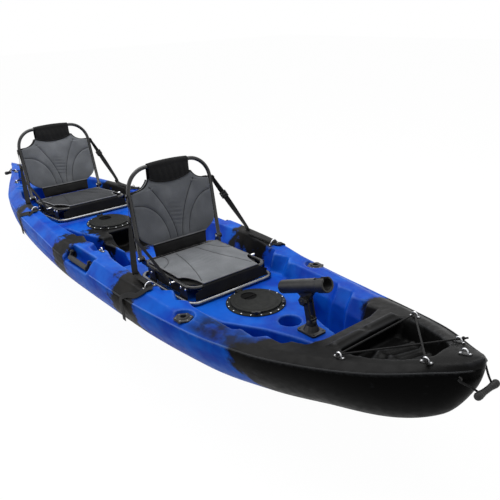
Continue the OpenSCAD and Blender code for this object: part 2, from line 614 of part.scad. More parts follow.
module rod_swivel() {
  color([0.07, 0.07, 0.07]) at_rod() difference() {
    union() {
      translate([0, 0, 12 + gap]) cylinder(r = 10, h = 20);
      translate([0, 0, 30 + gap]) cylinder(r1 = 21, r2 = 17, h = 16);
      for (s = [-1, 1]) translate([0, s * 12 - 3, 0]) {
        translate([tilt_x, 6, tilt_z]) rotate([90, 0, 0]) cylinder(r = 14, h = 6);
        translate([0, 6, 0]) rotate([90, 0, 0]) linear_extrude(6) polygon([[-14, 44], [13, 44],
          [tilt_x + 13, tilt_z + 2], [tilt_x - 14, tilt_z]]);
      }
      translate([-14, -15, 40]) cube([27, 30, 16]);
      translate([tilt_x, 15, tilt_z]) rotate([90, 0, 0]) cylinder(r = tilt_r, h = 50);
    }
  }
}
module rod_tube() {
  color([0.09, 0.09, 0.09]) at_rod() translate([tilt_x, 0, tilt_z]) rotate([0, -tube_tilt, 0]) difference() {
    union() {
      translate([-rod_l / 2, 0, tube_up]) rotate([0, 90, 0]) cylinder(r = rod_bore + rod_wall, h = rod_l);
      translate([rod_l / 2 - 40, 0, tube_up]) rotate([0, 90, 0]) cylinder(r = rod_bore + rod_wall + 3, h = 40);
      rotate([90, 0, 0]) translate([0, 0, -tang]) linear_extrude(2 * tang) polygon([[-13, -4], [13, -4],
        [52, tube_up - 18], [-46, tube_up - 18]]);
      translate([0, tang, 0]) rotate([90, 0, 0]) cylinder(r = 14, h = 2 * tang);
    }
    translate([-rod_l / 2 + 12, 0, tube_up]) rotate([0, 90, 0]) cylinder(r = rod_bore, h = rod_l);
    translate([rod_l / 2 - 58, -11, tube_up]) cube([100, 22, 60]);
    translate([0, 30, 0]) rotate([90, 0, 0]) cylinder(r = tilt_r + run_c, h = 60);
  }
}
module rod_knob() {
  color([0.05, 0.05, 0.05]) at_rod() translate([tilt_x, -15 - gap, tilt_z]) rotate([90, 0, 0]) difference() {
    union() {
      cylinder(r = 11, h = 6);
      translate([0, 0, 6]) cylinder(r = 15, h = 11);
      for (k = [0:5]) rotate(k * 60) translate([13, 0, 6.6]) cylinder(r = 4.5, h = 9.8);
    }
    translate([0, 0, -1]) cylinder(r = tilt_r + run_c, h = 30);
  }
}

// rounded rectangle of tube lying flat, from the front back to x1
module tube_loop(x0, x1, y, r) {
  for (s = [-1, 1]) translate([x1 + r, s * y, 0]) rotate([0, 90, 0]) cylinder(r = tube_r, h = x0 - x1 - 2 * r);
  for (x = [x0, x1]) translate([x, y - r, 0]) rotate([90, 0, 0]) cylinder(r = tube_r, h = 2 * (y - r));
  for (q = [[x0 - r, y - r, 0], [x1 + r, y - r, 90], [x1 + r, r - y, 180], [x0 - r, r - y, 270]])
    translate([q[0], q[1], 0]) rotate(q[2]) rotate_extrude(angle = 90) translate([r, 0]) circle(r = tube_r);
}
module seat_skid(i) {
  color([0.75, 0.76, 0.77]) at_seat(i) translate([0, 0, tube_r]) tube_loop(0, -seat_l, skid_y, 40);
}
module seat_base(i) {
  color([0.06, 0.06, 0.06]) at_seat(i) difference() {
    union() {
      translate([0, 0, seat_h]) tube_loop(-22, -seat_l, base_y, 46);
      two_sides() translate([back_piv, base_y + tube_r - bracket_t, 0]) {
        translate([-14, 0, seat_h]) cube([44, bracket_t, pivot_h - seat_h]);
        translate([0, bracket_t, pivot_h]) rotate([90, 0, 0]) cylinder(r = 14, h = bracket_t);
      }
    }
    two_sides() translate([back_piv, half, pivot_h]) rotate([90, 0, 0])
      cylinder(r = pin_r + screw_c, h = 60);
  }
}
module seat_gussets(i) {
  color([0.08, 0.08, 0.08]) at_seat(i) two_sides() translate([0, base_y + tube_r + 2, 0]) rotate([90, 0, 0])
    linear_extrude(2) {
      polygon([[-108, 3], [-46, 3], [-46, seat_h + 4], [-84, seat_h + 4]]);
      polygon([[-338, 3], [-278, 3], [-296, seat_h + 4], [-338, seat_h + 4]]);
    }
}
module seat_bolts(i) {
  color([0.78, 0.79, 0.8]) at_seat(i) two_sides() {
    translate([back_piv, base_y, pivot_h]) rotate([-90, 0, 0]) {
      cylinder(r = pin_r, h = eye_out + gap - base_y);
      translate([0, 0, eye_out + gap - base_y]) cylinder(r1 = 8, r2 = 5, h = 4);
      translate([0, 0, tube_r - bracket_t - 5]) cylinder(r = 7, h = 5, $fn = 6);
    }
    for (x = [-92, -58, -320]) translate([x, base_y + tube_r + 2, x == -320 ? 48 : 56]) rotate([-90, 0, 0])
      cylinder(r1 = 6, r2 = 4, h = 3);
  }
  // the starboard post holds a limit strap under its head, the port post has its head on bare metal
  color([0.78, 0.79, 0.8]) at_seat(i) for (s = [0, 1]) mirror([0, s, 0])
    translate([limit_x, base_y + tube_r, seat_h]) rotate([-90, 0, 0]) {
      cylinder(r = 5, h = half + gap - base_y);
      translate([0, 0, half + gap + s * 2 * web_t - base_y]) cylinder(r1 = 6, r2 = 4, h = 2.5);
    }
}
// black cloth round the seat base
module seat_sling(i) {
  color([0.05, 0.05, 0.055]) at_seat(i) {
    translate([0, 0, seat_h - 1.25]) {
      for (x = [-22 - 46, -seat_l + 46]) for (s = [-1, 1]) translate([x, s * (base_y - 46), 0])
        cylinder(r = sling_r, h = 2.5);
      translate([-seat_l + 46, -base_y + tube_r, 0]) cube([seat_l - 114, 2 * (base_y - tube_r), 2.5]);
      translate([-seat_l + tube_r, -base_y + 46, 0]) cube([seat_l - 22 - 2 * tube_r, 2 * base_y - 92, 2.5]);
    }
    grid = [for (j = [0:4]) for (c = [0:12]) [(c / 6 - 1) * (base_y - 30), seat_h - tube_r - 50 + j * 12.5,
      1.2 * cos(c * 60), 3 * sin(j * 45)]];
    quilt([for (p = grid) [p[3] - p[2] - 13, p[0], p[1]]], [for (p = grid) [-25 - 2 * p[3] - p[2], p[0], p[1]]], 12, 4);
  }
}
// cushion from a grid: columns across, rows along, thickness by position
function bell(d, w) = exp(-d * d / (w * w));
scoop_l = 115;
scoop_w = 46;
pad_l = seat_l - 52;
function scoop(u) = u < scoop_l ? scoop_w * sqrt(1 - pow(u / scoop_l, 2)) : 0;
function seat_half(t) = base_y - 8 - scoop((1 - t) * pad_l) - 4 * sin(180 * min(1, t / 0.7));
function seat_top(s, t) = seat_h + tube_r + 1 + 15 * (1 - pow(abs(s), 6)) * (1 - pow(abs(2 * t - 1), 8))
  + 4 * t - 4.5 * bell((abs(s) - 0.30 - 0.30 * t * t) * base_y, 11) * sin(180 * t)
  - 4 * bell((t - 0.10) * seat_l, 16) * (1 - s * s);
module cushion(px, top, low, cx, n, m) {
  k = (n + 1) * (m + 1);
  rim = concat([for (i = [0:n]) i], [for (j = [1:m]) j * (n + 1) + n], [for (i = [n - 1:-1:0]) m * (n + 1) + i],
    [for (j = [m - 1:-1:1]) j * (n + 1)]);
  q = len(rim);
  polyhedron(
    points = concat(top, [for (r = rim) [px == 0 ? top[r][0] : low, top[r][1], px == 0 ? low : top[r][2]]], [cx]),
    faces = concat(
      [for (j = [0:m - 1]) for (i = [0:n - 1]) let(a = j * (n + 1) + i) [a, a + n + 1, a + 1]],
      [for (j = [0:m - 1]) for (i = [0:n - 1]) let(a = j * (n + 1) + i) [a + 1, a + n + 1, a + n + 2]],
      [for (r = [0:q - 1]) [rim[r], rim[(r + 1) % q], k + (r + 1) % q]],
      [for (r = [0:q - 1]) [rim[r], k + (r + 1) % q, k + r]],
      [for (r = [0:q - 1]) [k + r, k + (r + 1) % q, k + q]]));
}
module seat_pad(i) {
  n = 26;
  m = 20;
  color([0.40, 0.40, 0.42]) at_seat(i)
    cushion(0, [for (j = [0:m]) for (c = [0:n]) let(s = 1 - 2 * c / n, t = j / m)
      [-seat_l + 34 + t * pad_l, s * seat_half(t), seat_top(s, t)]],
      seat_h + tube_r + gap, [-seat_l / 2, 0, seat_h + tube_r + gap], n, m);
}
// the backrest is drawn upright from its pivot, then leaned back
module at_back(i) {
  at_seat(i) translate([back_piv, 0, pivot_h]) rotate([0, -lean, 0]) children();
}
module back_frame(i) {
  color([0.06, 0.06, 0.06]) at_back(i) difference() {
    union() {
      two_sides() translate([0, half, 0]) cylinder(r = tube_r, h = side_v);
      two_sides() translate([0, eye_in, 0]) rotate([-90, 0, 0]) cylinder(r = 13, h = eye_out - eye_in);
      translate([0, half - elbow, back_l]) rotate([90, 0, 0]) cylinder(r = tube_r, h = 2 * (half - elbow));
      two_sides() translate([0, half - elbow, side_v]) rotate([90, 0, 90]) rotate_extrude(angle = 90)
        translate([elbow, 0]) circle(r = tube_r);
      two_sides() translate([-7, half + tube_r - 2, tab_v - 16]) cube([14, 6, 32]);
    }
    two_sides() translate([0, half + 20, 0]) rotate([90, 0, 0]) cylinder(r = pin_r + run_c, h = 60);
    two_sides() for (z = [-6, 6]) translate([-20, half + tube_r, tab_v + z - 1.5]) cube([40, 2, 3]);
  }
}
soft_c = 0.3;
pad_w = half - tube_r - soft_c;
pad_v0 = 46;
pad_v1 = back_l - tube_r - soft_c;
window_r = 100;
window_w = 104;
foot_in = 62;
foot_l = 60;
lumbar_v0 = -12;
// the window in the top corner and the drawn-in foot, both rounded
function window(v) = let(k = min(1, (back_l - v) / window_r)) window_w * pow(1 - pow(k, 2.6), 1 / 2.6);
function foot(v) = foot_in * pow(max(0, 1 - (v - pad_v0) / foot_l), 2);
function pad_half(v) = pad_w - window(v) - foot(v) - 5 * sin(180 * min(1, (v - pad_v0) / 260));
function pad_row(j, m) = pad_v0 + (pad_v1 - pad_v0) * j / m;
function seam(v, k) = k == 0 ? 34 + 0.00085 * pow(v - 40, 2) * 0.35 : 96 + 0.0010 * pow(v - 40, 2);
function pad_face(y, v) = let(s = abs(y) / pad_half(v), t = (v - pad_v0) / (pad_v1 - pad_v0))
  5 + 15 * (1 - pow(s, 6)) * (1 - pow(abs(2 * t - 1), 8))
  - 5 * bell(abs(y) - seam(v, 0), 10) * (1 - t * t) - 5 * bell(abs(y) - seam(v, 1), 10) * (1 - t * t) * (1 - pow(s, 8))
  - 3 * bell(y, 12) * (1 - t) - 4 * bell(v - 150 - 12 * cos(y), 9) * bell(y, 40);
module back_pad(i) {
  n = 26;
  m = 24;
  color([0.40, 0.40, 0.42]) at_back(i)
    cushion(1, [for (j = [0:m]) for (c = [0:n]) let(v = pad_row(j, m), y = (2 * c / n - 1) * pad_half(v))
      [pad_face(y, v), y, v]], -6, [-6, 0, 180], n, m);
}
// sheet between a front grid and a back grid
module quilt(front, back, n, m) {
  k = (n + 1) * (m + 1);
  rim = concat([for (i = [0:n]) i], [for (j = [1:m]) j * (n + 1) + n], [for (i = [n - 1:-1:0]) m * (n + 1) + i],
    [for (j = [m - 1:-1:1]) j * (n + 1)]);
  q = len(rim);
  polyhedron(
    points = concat(front, back),
    faces = concat(
      [for (j = [0:m - 1]) for (i = [0:n - 1]) let(a = j * (n + 1) + i) [a, a + n + 1, a + 1]],
      [for (j = [0:m - 1]) for (i = [0:n - 1]) let(a = j * (n + 1) + i) [a + 1, a + n + 1, a + n + 2]],
      [for (j = [0:m - 1]) for (i = [0:n - 1]) let(a = k + j * (n + 1) + i) [a, a + 1, a + n + 1]],
      [for (j = [0:m - 1]) for (i = [0:n - 1]) let(a = k + j * (n + 1) + i) [a + 1, a + n + 2, a + n + 1]],
      [for (r = [0:q - 1]) [rim[r], rim[(r + 1) % q], k + rim[(r + 1) % q]]],
      [for (r = [0:q - 1]) [rim[r], k + rim[(r + 1) % q], k + rim[r]]]));
}
// black panel over the top tube, with a curved lower edge
head_l = 80;
head_rise = 26;
head_c = soft_c + 0.9;
function tube_front(v) = sqrt(max(0, pow(tube_r + head_c, 2) - pow(v - back_l, 2)));
function head_back(y, v) = max(pad_face(y, min(v, pad_v1 - 1)) + 5 * soft_c, tube_front(v));
function head_v(s, q) = back_l - head_l + head_rise * s * s * (1 - q) + q * (head_l + 0.7 * tube_r);
head_half = 104;
function head_w(v) = min(head_half, pad_half(min(v, pad_v1 - 1)) - 3);
module head_panel(i) {
  n = 16;
  m = 10;
  pts = [for (j = [0:m]) for (c = [0:n]) let(s = 2 * c / n - 1, q = j / m) [s * head_w(head_v(s, q)), head_v(s, q), q]];
  color([0.05, 0.05, 0.055]) at_back(i) quilt(
    [for (p = pts) [head_back(p[0], p[1]) + 1.2 + 2.4 * sin(180 * p[2]), p[0], p[1]]],
    [for (p = pts) [head_back(p[0], p[1]), p[0], p[1]]], n, m);
}
// black panel at the foot of the backrest
module lumbar_panel(i) {
  n = 16;
  m = 5;
  pts = [for (j = [0:m]) for (c = [0:n]) let(s = 2 * c / n - 1, q = j / m)
    [s * (pad_w - foot_in - 6 * (1 - q)), lumbar_v0 + q * (pad_v0 - lumbar_v0 - soft_c), q, s]];
  color([0.05, 0.05, 0.055]) at_back(i) quilt(
    [for (p = pts) [3 + 9 * (1 - pow(p[3], 6) * 0.7) * (0.35 + 0.65 * sin(180 * p[2])), p[0], p[1]]],
    [for (p = pts) [-4, p[0], p[1]]], n, m);
}
// flat webbing through route points, each with the direction of its width
module webbing(pts, dirs, w, t) {
  m = len(pts) - 1;
  tang_at = function(i) let(d = pts[min(i + 1, m)] - pts[max(i - 1, 0)]) d / norm(d);
  loft([for (i = [0:m]) let(u = dirs[i] / norm(dirs[i]) * w / 2, c = cross(tang_at(i), dirs[i]),
    n = c / norm(c) * t / 2) [pts[i] - u - n, pts[i] + u - n, pts[i] + u + n, pts[i] - u + n]]);
}
// route points or directions filled in between, for webbing that twists
function fill(p, n) = concat([for (i = [0:len(p) - 2]) for (k = [0:n - 1]) p[i] + (p[i + 1] - p[i]) * k / n], [p[len(p) - 1]]);
// tie webbing from the backrest tab to its deck eye, then back over the gunwale as a loose tail
tab_out = half + tube_r + 5;
tail_up = 6.5;
// each strap hangs slack to the deck at some distance behind its eye, more on the port side
slacks = [178, 110];
function strap_bend(i, dx) = let(x = strap_eyes[i][0] * kx - dx, y = strap_eyes[i][1] * ky - dx / 15)
  [x, y, deck_z(x, y)];
function tab_at(i) = on_seat(i, [back_piv - tab_v * sin(lean), tab_out, pivot_h + tab_v * cos(lean)]);
function strap_top(i) = tab_at(i) + [14, 2, -12];
function strap_low(i, s) = strap_bend(i, slacks[s] + 12) + [0, 0, 44];
function strap_hole(i) = let(x = strap_eyes[i][0] * kx, y = strap_eyes[i][1] * ky)
  [x + 7, y, deck_z(x, y) - pocket + eye_h + 5];
function strap_route(i, s) = [tab_at(i), strap_top(i), strap_low(i, s), strap_bend(i, slacks[s] - 4) + [0, 0, 17],
  strap_bend(i, slacks[s] - 34) + [0, 0, 9], strap_bend(i, 60) + [0, 0, 9], strap_hole(i) + [-13, 0, 5], strap_hole(i)];
module tie_straps(i) {
  h = strap_hole(i);
  ex = h[0] - 7;
  ey = h[1];
  gx = ex - 70;
  gb = beam(gx);
  gz = edge_z(gx);
  wide = [[0.3, 0, 0.95], [0.4, 0, 0.9], [-0.3, 0.9, -0.05], [-0.1, 1, 0], [0, 1, 0], [0, 1, 0], [0, 1, 0], [0, 1, 0]];
  tail_xy = [[ex + 20, ey + 10], [ex + 20, ey + 25], [ex + 20, ey + 40], [ex - 4, gb - 24], [ex - 40, gb - 14]];
  tail = concat([h], [for (p = tail_xy) [p[0], p[1], deck_z(p[0], p[1]) + tail_up]],
    [[gx, gb + 2.5, gz + 6], [gx - 6, gb + 5.5, gz - 12], [gx - 8, gb + 2, gz - 45], [gx - 9, gb - 1, gz - 80],
    [gx - 10, gb - 3, gz - 105]]);
  edge = [[0, -1, 0], [0.5, -1, 0], [0.8, -0.5, 0], [1, -0.1, 0], [0.8, 0.6, -0.6], [0.5, 0.8, -0.8], [1, 0.4, -0.5],
    [1, 0, 0], [1, 0, 0], [1, 0, 0], [1, 0, 0]];
  color([0.04, 0.04, 0.045]) for (s = [0, 1]) mirror([0, s, 0]) {
    webbing(fill(strap_route(i, s), 12), fill(wide, 12), web_w, web_t);
    webbing(fill(tail, 2), fill(edge, 2), web_w, web_t);
  }
}
module limit_straps(i) {
  bx = back_piv - 96 * sin(lean);
  bz = pivot_h + 96 * cos(lean);
  ex = limit_x + 8;
  ez = seat_h - 4;
  arc = [for (k = [0:8]) let(t = k / 8) [bx + (ex - bx) * t, bz + (ez - bz) * t + 6 * sin(180 * t)]];
  y = half + tube_r + gap;
  color([0.05, 0.05, 0.055]) at_seat(i) mirror([0, 1, 0])
    webbing([for (p = arc) [p[0], y + web_t, p[1]]],
      [for (k = [0:8]) let(d = arc[min(k + 1, 8)] - arc[max(k - 1, 0)]) [-d[1], 0, d[0]]], 20, 2 * web_t);
}
module strap_buckles(i) {
  color([0.05, 0.05, 0.05]) for (s = [0, 1]) mirror([0, s, 0]) {
    run = strap_low(i, s) - strap_top(i);
    p = strap_top(i) + run * 0.3;
    d = run / norm(run);
    w = [0.19, 0.27, 0.615];
    u = w - d * (w * d);
    v = u / norm(u);
    n = cross(d, v);
    multmatrix([[d[0], v[0], n[0], p[0]], [d[1], v[1], n[1], p[1]], [d[2], v[2], n[2], p[2]], [0, 0, 0, 1]])
      difference() {
        translate([-16, -web_w / 2 - 4, -4]) cube([32, web_w + 8, 8]);
        for (x = [-9, 5]) translate([x, -web_w / 2 - 1, -10]) cube([4, web_w + 2, 20]);
        translate([-20, -web_w / 2 - 1.5, -2.9]) cube([40, web_w + 3, 5.8]);
      }
  }
}

hull_shell();  // hull
hatch_ring(0);  // front_hatch_ring
hatch_ring(1);  // rear_hatch_ring
hatch_screws();
hatch_seal(0);  // front_hatch_seal
hatch_seal(1);  // rear_hatch_seal
hatch_lid(0);  // front_hatch_lid
hatch_lid(1);  // rear_hatch_lid
hatch_latch(0, 1);  // front_latch_port
hatch_latch(0, -1);  // front_latch_starboard
hatch_latch(1, 1);  // rear_latch_port
hatch_latch(1, -1);  // rear_latch_starboard
pad_eyes();
pad_eye_loops();
pad_eye_screws();
bow_bungee();
stern_bungee();
bow_toggle();
bow_toggle_cord();
stern_toggle();
stern_toggle_cord();
handle_grip(1);  // port_handle
handle_grip(-1);  // starboard_handle
handle_pins();
accessory_ports();
port_screws();
drain_plug();
rod_base();
rod_screws();
rod_swivel();
rod_tube();
rod_knob();
seat_skid(0);  // front_skid
seat_skid(1);  // rear_skid
seat_base(0);  // front_seat_base
seat_base(1);  // rear_seat_base
seat_gussets(0);  // front_gussets
seat_gussets(1);  // rear_gussets
seat_bolts(0);  // front_seat_bolts
seat_bolts(1);  // rear_seat_bolts
seat_sling(0);  // front_sling
seat_sling(1);  // rear_sling
seat_pad(0);  // front_seat_pad
seat_pad(1);  // rear_seat_pad
back_frame(0);  // front_back_frame
back_frame(1);  // rear_back_frame
back_pad(0);  // front_back_pad
back_pad(1);  // rear_back_pad
head_panel(0);  // front_head_panel
head_panel(1);  // rear_head_panel
lumbar_panel(0);  // front_lumbar
lumbar_panel(1);  // rear_lumbar
tie_straps(0);  // front_tie_straps
tie_straps(1);  // rear_tie_straps
limit_straps(0);  // front_limit_straps
limit_straps(1);  // rear_limit_straps
strap_buckles(0);  // front_buckles
strap_buckles(1);  // rear_buckles
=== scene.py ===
# %% [markdown]
# # A two-seat sit-on-top fishing kayak
# The boat is one hollow plastic moulding with two folding frame seats, two round hatches, a rod holder,
# shock cords and carry handles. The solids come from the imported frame, where every size is already right.
# This script gives them their looks: rounded moulded edges, quilted pads, webbing, cords and finishes.
# All lengths are metres, +X points to the bow, +Y to port and +Z up.

# %% Load the frame and keep its box
import json
import math

import bmesh
import bpy
import numpy as np
from mathutils import Matrix, Vector
from mathutils.bvhtree import BVHTree


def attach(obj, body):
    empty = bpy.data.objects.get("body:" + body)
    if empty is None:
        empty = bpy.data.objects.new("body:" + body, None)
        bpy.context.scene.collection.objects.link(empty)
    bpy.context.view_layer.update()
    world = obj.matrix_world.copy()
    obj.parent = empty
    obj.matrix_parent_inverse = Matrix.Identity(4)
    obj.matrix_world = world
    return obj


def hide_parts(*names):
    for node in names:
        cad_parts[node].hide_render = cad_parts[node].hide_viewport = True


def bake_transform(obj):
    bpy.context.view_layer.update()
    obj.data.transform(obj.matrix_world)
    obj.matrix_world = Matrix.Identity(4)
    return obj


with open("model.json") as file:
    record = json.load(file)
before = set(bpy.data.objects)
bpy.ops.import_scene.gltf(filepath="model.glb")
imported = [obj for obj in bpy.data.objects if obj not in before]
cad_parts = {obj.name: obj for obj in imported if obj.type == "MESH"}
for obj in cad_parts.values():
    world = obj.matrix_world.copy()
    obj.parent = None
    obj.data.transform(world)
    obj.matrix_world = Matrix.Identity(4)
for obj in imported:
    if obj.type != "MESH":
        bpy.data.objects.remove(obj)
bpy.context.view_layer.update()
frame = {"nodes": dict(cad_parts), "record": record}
scene = bpy.context.scene
scene.view_settings.view_transform = "Standard"
slot_of = {row["node"]: row["material_slot"] for row in frame["record"]["subparts"]}
body_of = {node: body for body, nodes in frame["record"]["behaviour"]["bodies"].items() for node in nodes}

# %% [markdown]
# ## The camera
# The photograph looks down on the boat from off the starboard bow. A camera could be aimed by eye, but its
# place, turn and focal length were worked out from points on the seats and the gunwales, so they are
# written here as plain values. The focal length is in pixels of a 500 pixel frame.

# %% Camera at the photograph's angle
CAMERA_AT = Vector((2.5390, -1.3887, 1.4177))
CAMERA_YAW = 2.456893
CAMERA_PITCH = -0.387630
CAMERA_ROLL = -0.030332
FOCAL_PIXELS = 602.0
FRAME_PIXELS = 500.0

flat = math.cos(CAMERA_PITCH)
ahead = Vector((math.cos(CAMERA_YAW) * flat, math.sin(CAMERA_YAW) * flat, math.sin(CAMERA_PITCH)))
level_right = ahead.cross(Vector((0, 0, 1))).normalized()
level_up = level_right.cross(ahead)
right = level_right * math.cos(CAMERA_ROLL) + level_up * math.sin(CAMERA_ROLL)
up = level_up * math.cos(CAMERA_ROLL) - level_right * math.sin(CAMERA_ROLL)
camera_data = bpy.data.cameras.new("photo_camera")
camera_data.sensor_width = 36.0
camera_data.lens = camera_data.sensor_width * FOCAL_PIXELS / FRAME_PIXELS
camera = bpy.data.objects.new("photo_camera", camera_data)
turn = Matrix((right, up, -ahead)).transposed().to_4x4()
camera.matrix_world = Matrix.Translation(CAMERA_AT) @ turn
scene.collection.objects.link(camera)
scene.camera = camera
print("lens:", round(camera_data.lens, 2), "mm")

# %% [markdown]
# ## Helpers for node materials
# Every finish here is made of nodes: a shader, some noise for uneven colour, and a bump for grain or weave.
# Writing each link by hand is long, so one small class adds a node, sets its sockets, and links a socket
# wherever it is given the output of another node.

# %% A small builder for finishes
class Finish:
    """One node material. Its add method returns the new node's first output."""

    def __init__(self, name, **sockets):
        self.material = bpy.data.materials.new(name)
        self.material.use_nodes = True
        self.tree = self.material.node_tree
        self.shader = self.tree.nodes["Principled BSDF"]
        self.place = self.add("ShaderNodeTexCoord", output="Object")
        self.set(**sockets)

    def put(self, socket, value):
        if isinstance(value, bpy.types.NodeSocket):
            self.tree.links.new(value, socket)
        else:
            socket.default_value = value

    def set(self, **sockets):
        for name, value in sockets.items():
            self.put(self.shader.inputs[name.replace("_", " ")], value)

    def add(self, kind, *inputs, output=0, settings=None, **named):
        node = self.tree.nodes.new(kind)
        for key, value in (settings or {}).items():
            setattr(node, key, value)
        for index, value in enumerate(inputs):
            if value is not None:
                self.put(node.inputs[index], value)
        for name, value in named.items():
            self.put(node.inputs[name.replace("_", " ")], value)
        return node.outputs[output]

    def math(self, operation, *values):
        return self.add("ShaderNodeMath", *values, settings={"operation": operation})

    def noise(self, scale, detail=2.0, place=None, roughness=0.5):
        where = self.place if place is None else place
        return self.add("ShaderNodeTexNoise", Vector=where, Scale=scale, Detail=detail, Roughness=roughness)

    def fade(self, value, low, high, to_low=0.0, to_high=1.0):
        return self.add("ShaderNodeMapRange", value, low, high, to_low, to_high,
                        settings={"interpolation_type": "SMOOTHSTEP"})

    def blend(self, share, first, second):
        node = self.tree.nodes.new("ShaderNodeMix")
        node.data_type = "RGBA"
        self.put(node.inputs["Factor"], share)
        self.put(node.inputs[6], first)
        self.put(node.inputs[7], second)
        return node.outputs[2]

    def stretch(self, x, y, z):
        return self.add("ShaderNodeMapping", Vector=self.place, Scale=(x, y, z))

    def bump(self, height, strength, distance=0.001):
        self.set(Normal=self.add("ShaderNodeBump", Height=height, Strength=strength, Distance=distance))


def rgb(red, green, blue):
    """A colour as a screen shows it, from 0 to 255, turned into the linear colour that Blender uses."""
    linear = [((c / 255 + 0.055) / 1.055) ** 2.4 if c > 10 else c / 255 / 12.92 for c in (red, green, blue)]
    return (*linear, 1.0)


# %% [markdown]
# ## The stage
# The boat stands in a white studio. A plain white floor would turn grey under soft light, so the floor and
# the world look white to the camera and to mirror-like surfaces, and give only a modest light to the boat.
# The floor still keeps part of its real shading, which is the boat's shadow.

# %% Floor, world and lamps
FLOOR_SIZE = 40.0
FLOOR_DROP = 0.001  # just below the keel, so that the two never share a plane
FLOOR_GREY = 0.55
FLOOR_GLOW = 1.04
FLOOR_WHITE = 0.94  # share of the glow in what the camera sees, the rest is the shaded floor
WORLD_LIGHT = 0.34
WHITE = (1, 1, 1, 1)


def seen_directly(tree):
    """1 for rays that show the stage itself or its mirror image, 0 for rays that carry light."""
    path = tree.nodes.new("ShaderNodeLightPath")
    seen = path.outputs["Is Camera Ray"]
    for kind in ("Is Glossy Ray", "Is Transmission Ray"):
        either = tree.nodes.new("ShaderNodeMath")
        either.operation = "MAXIMUM"
        tree.links.new(seen, either.inputs[0])
        tree.links.new(path.outputs[kind], either.inputs[1])
        seen = either.outputs[0]
    return seen


half_floor = FLOOR_SIZE / 2
floor_mesh = bpy.data.meshes.new("studio_floor")
floor_mesh.from_pydata([(-half_floor, -half_floor, 0), (half_floor, -half_floor, 0),
                        (half_floor, half_floor, 0), (-half_floor, half_floor, 0)], [], [(0, 1, 2, 3)])
floor = bpy.data.objects.new("studio_floor", floor_mesh)
floor.location.z = -FLOOR_DROP
scene.collection.objects.link(floor)
floor_finish = Finish("white_floor")
floor_finish.tree.nodes.remove(floor_finish.shader)
painted = floor_finish.add("ShaderNodeBsdfDiffuse", (FLOOR_GREY, FLOOR_GREY, FLOOR_GREY, 1))
glow = floor_finish.add("ShaderNodeEmission", WHITE, FLOOR_GLOW)
share = floor_finish.math("MULTIPLY", seen_directly(floor_finish.tree), FLOOR_WHITE)
mixed = floor_finish.add("ShaderNodeMixShader", share, painted, glow)
floor_finish.put(floor_finish.tree.nodes["Material Output"].inputs["Surface"], mixed)
floor_mesh.materials.append(floor_finish.material)

world = bpy.data.worlds.new("studio")
scene.world = world
world.use_nodes = True
sky = world.node_tree.nodes["Background"]
sky.inputs["Color"].default_value = WHITE
level = world.node_tree.nodes.new("ShaderNodeMapRange")
level.inputs["To Min"].default_value = WORLD_LIGHT
level.inputs["To Max"].default_value = 1.0
world.node_tree.links.new(seen_directly(world.node_tree), level.inputs["Value"])
world.node_tree.links.new(level.outputs[0], sky.inputs["Strength"])


def soft_box(name, place, target, size, watts):
    lamp = bpy.data.lights.new(name, "AREA")
    lamp.shape = "RECTANGLE"
    lamp.size, lamp.size_y = size
    lamp.energy = watts
    lamp_object = bpy.data.objects.new(name, lamp)
    away = Vector(place) - Vector(target)
    lamp_object.matrix_world = Matrix.Translation(place) @ away.to_track_quat("Z", "Y").to_matrix().to_4x4()
    scene.collection.objects.link(lamp_object)


soft_box("overhead", (-0.4, 0.3, 4.2), (0, 0, 0.3), (5.0, 3.0), 165)
soft_box("left_fill", (-2.6, -4.2, 2.4), (-0.4, 0, 0.3), (3.0, 2.0), 60)
print("lamps ready")

# %% [markdown]
# ## The hull's lines
# A boat's shape is given by its lines: at each station along the length, how wide it is, how high the
# gunwale edge, the keel and the deck lie, and how full the section is. The solid uses the same table with
# few stations. Here a smooth curve runs through the table, so the skin can have hundreds of stations.

# %% Lines through the stations
HULL_LINES = np.array([
    # length, half beam, edge height, keel height, deck height, section power
    (-1.850, 0.005, 0.400, 0.380, 0.405, 2.00), (-1.780, 0.024, 0.398, 0.235, 0.408, 2.00),
    (-1.690, 0.058, 0.394, 0.160, 0.410, 2.00), (-1.600, 0.092, 0.389, 0.112, 0.410, 2.00),
    (-1.350, 0.198, 0.380, 0.066, 0.406, 2.00), (-1.050, 0.305, 0.372, 0.032, 0.402, 2.00),
    (-0.750, 0.360, 0.367, 0.005, 0.400, 1.95), (-0.400, 0.396, 0.360, 0.000, 0.400, 1.95),
    (0.000, 0.426, 0.352, 0.000, 0.400, 1.80), (0.500, 0.420, 0.342, 0.000, 0.393, 1.77),
    (0.900, 0.384, 0.338, 0.015, 0.366, 1.75), (1.200, 0.334, 0.353, 0.068, 0.371, 1.72),
    (1.400, 0.279, 0.378, 0.122, 0.400, 1.75), (1.600, 0.201, 0.413, 0.178, 0.431, 1.90),
    (1.750, 0.105, 0.446, 0.262, 0.466, 2.05), (1.830, 0.045, 0.465, 0.385, 0.487, 2.10),
    (1.850, 0.005, 0.470, 0.463, 0.492, 2.10)])
FLOOR_Z = 0.300
REAR_STEP = 0.028  # the rear cockpit's floor lies this much higher
RAMP_X, RAMP_TOP, RAMP_END = -0.505, 0.341, -0.950  # the rear seat stands on a ramp that falls aft
REAR_TILT = math.radians(5.5)
SHOULDER, SHOULDER_SHARE = 0.045, 0.3  # the band from gunwale to deck, and its share of a narrow half beam
CROWN, CROWN_FROM = 0.008, 1.40  # the end decks rise by this much toward the middle line
SIDES = ((1, "port"), (-1, "starboard"))


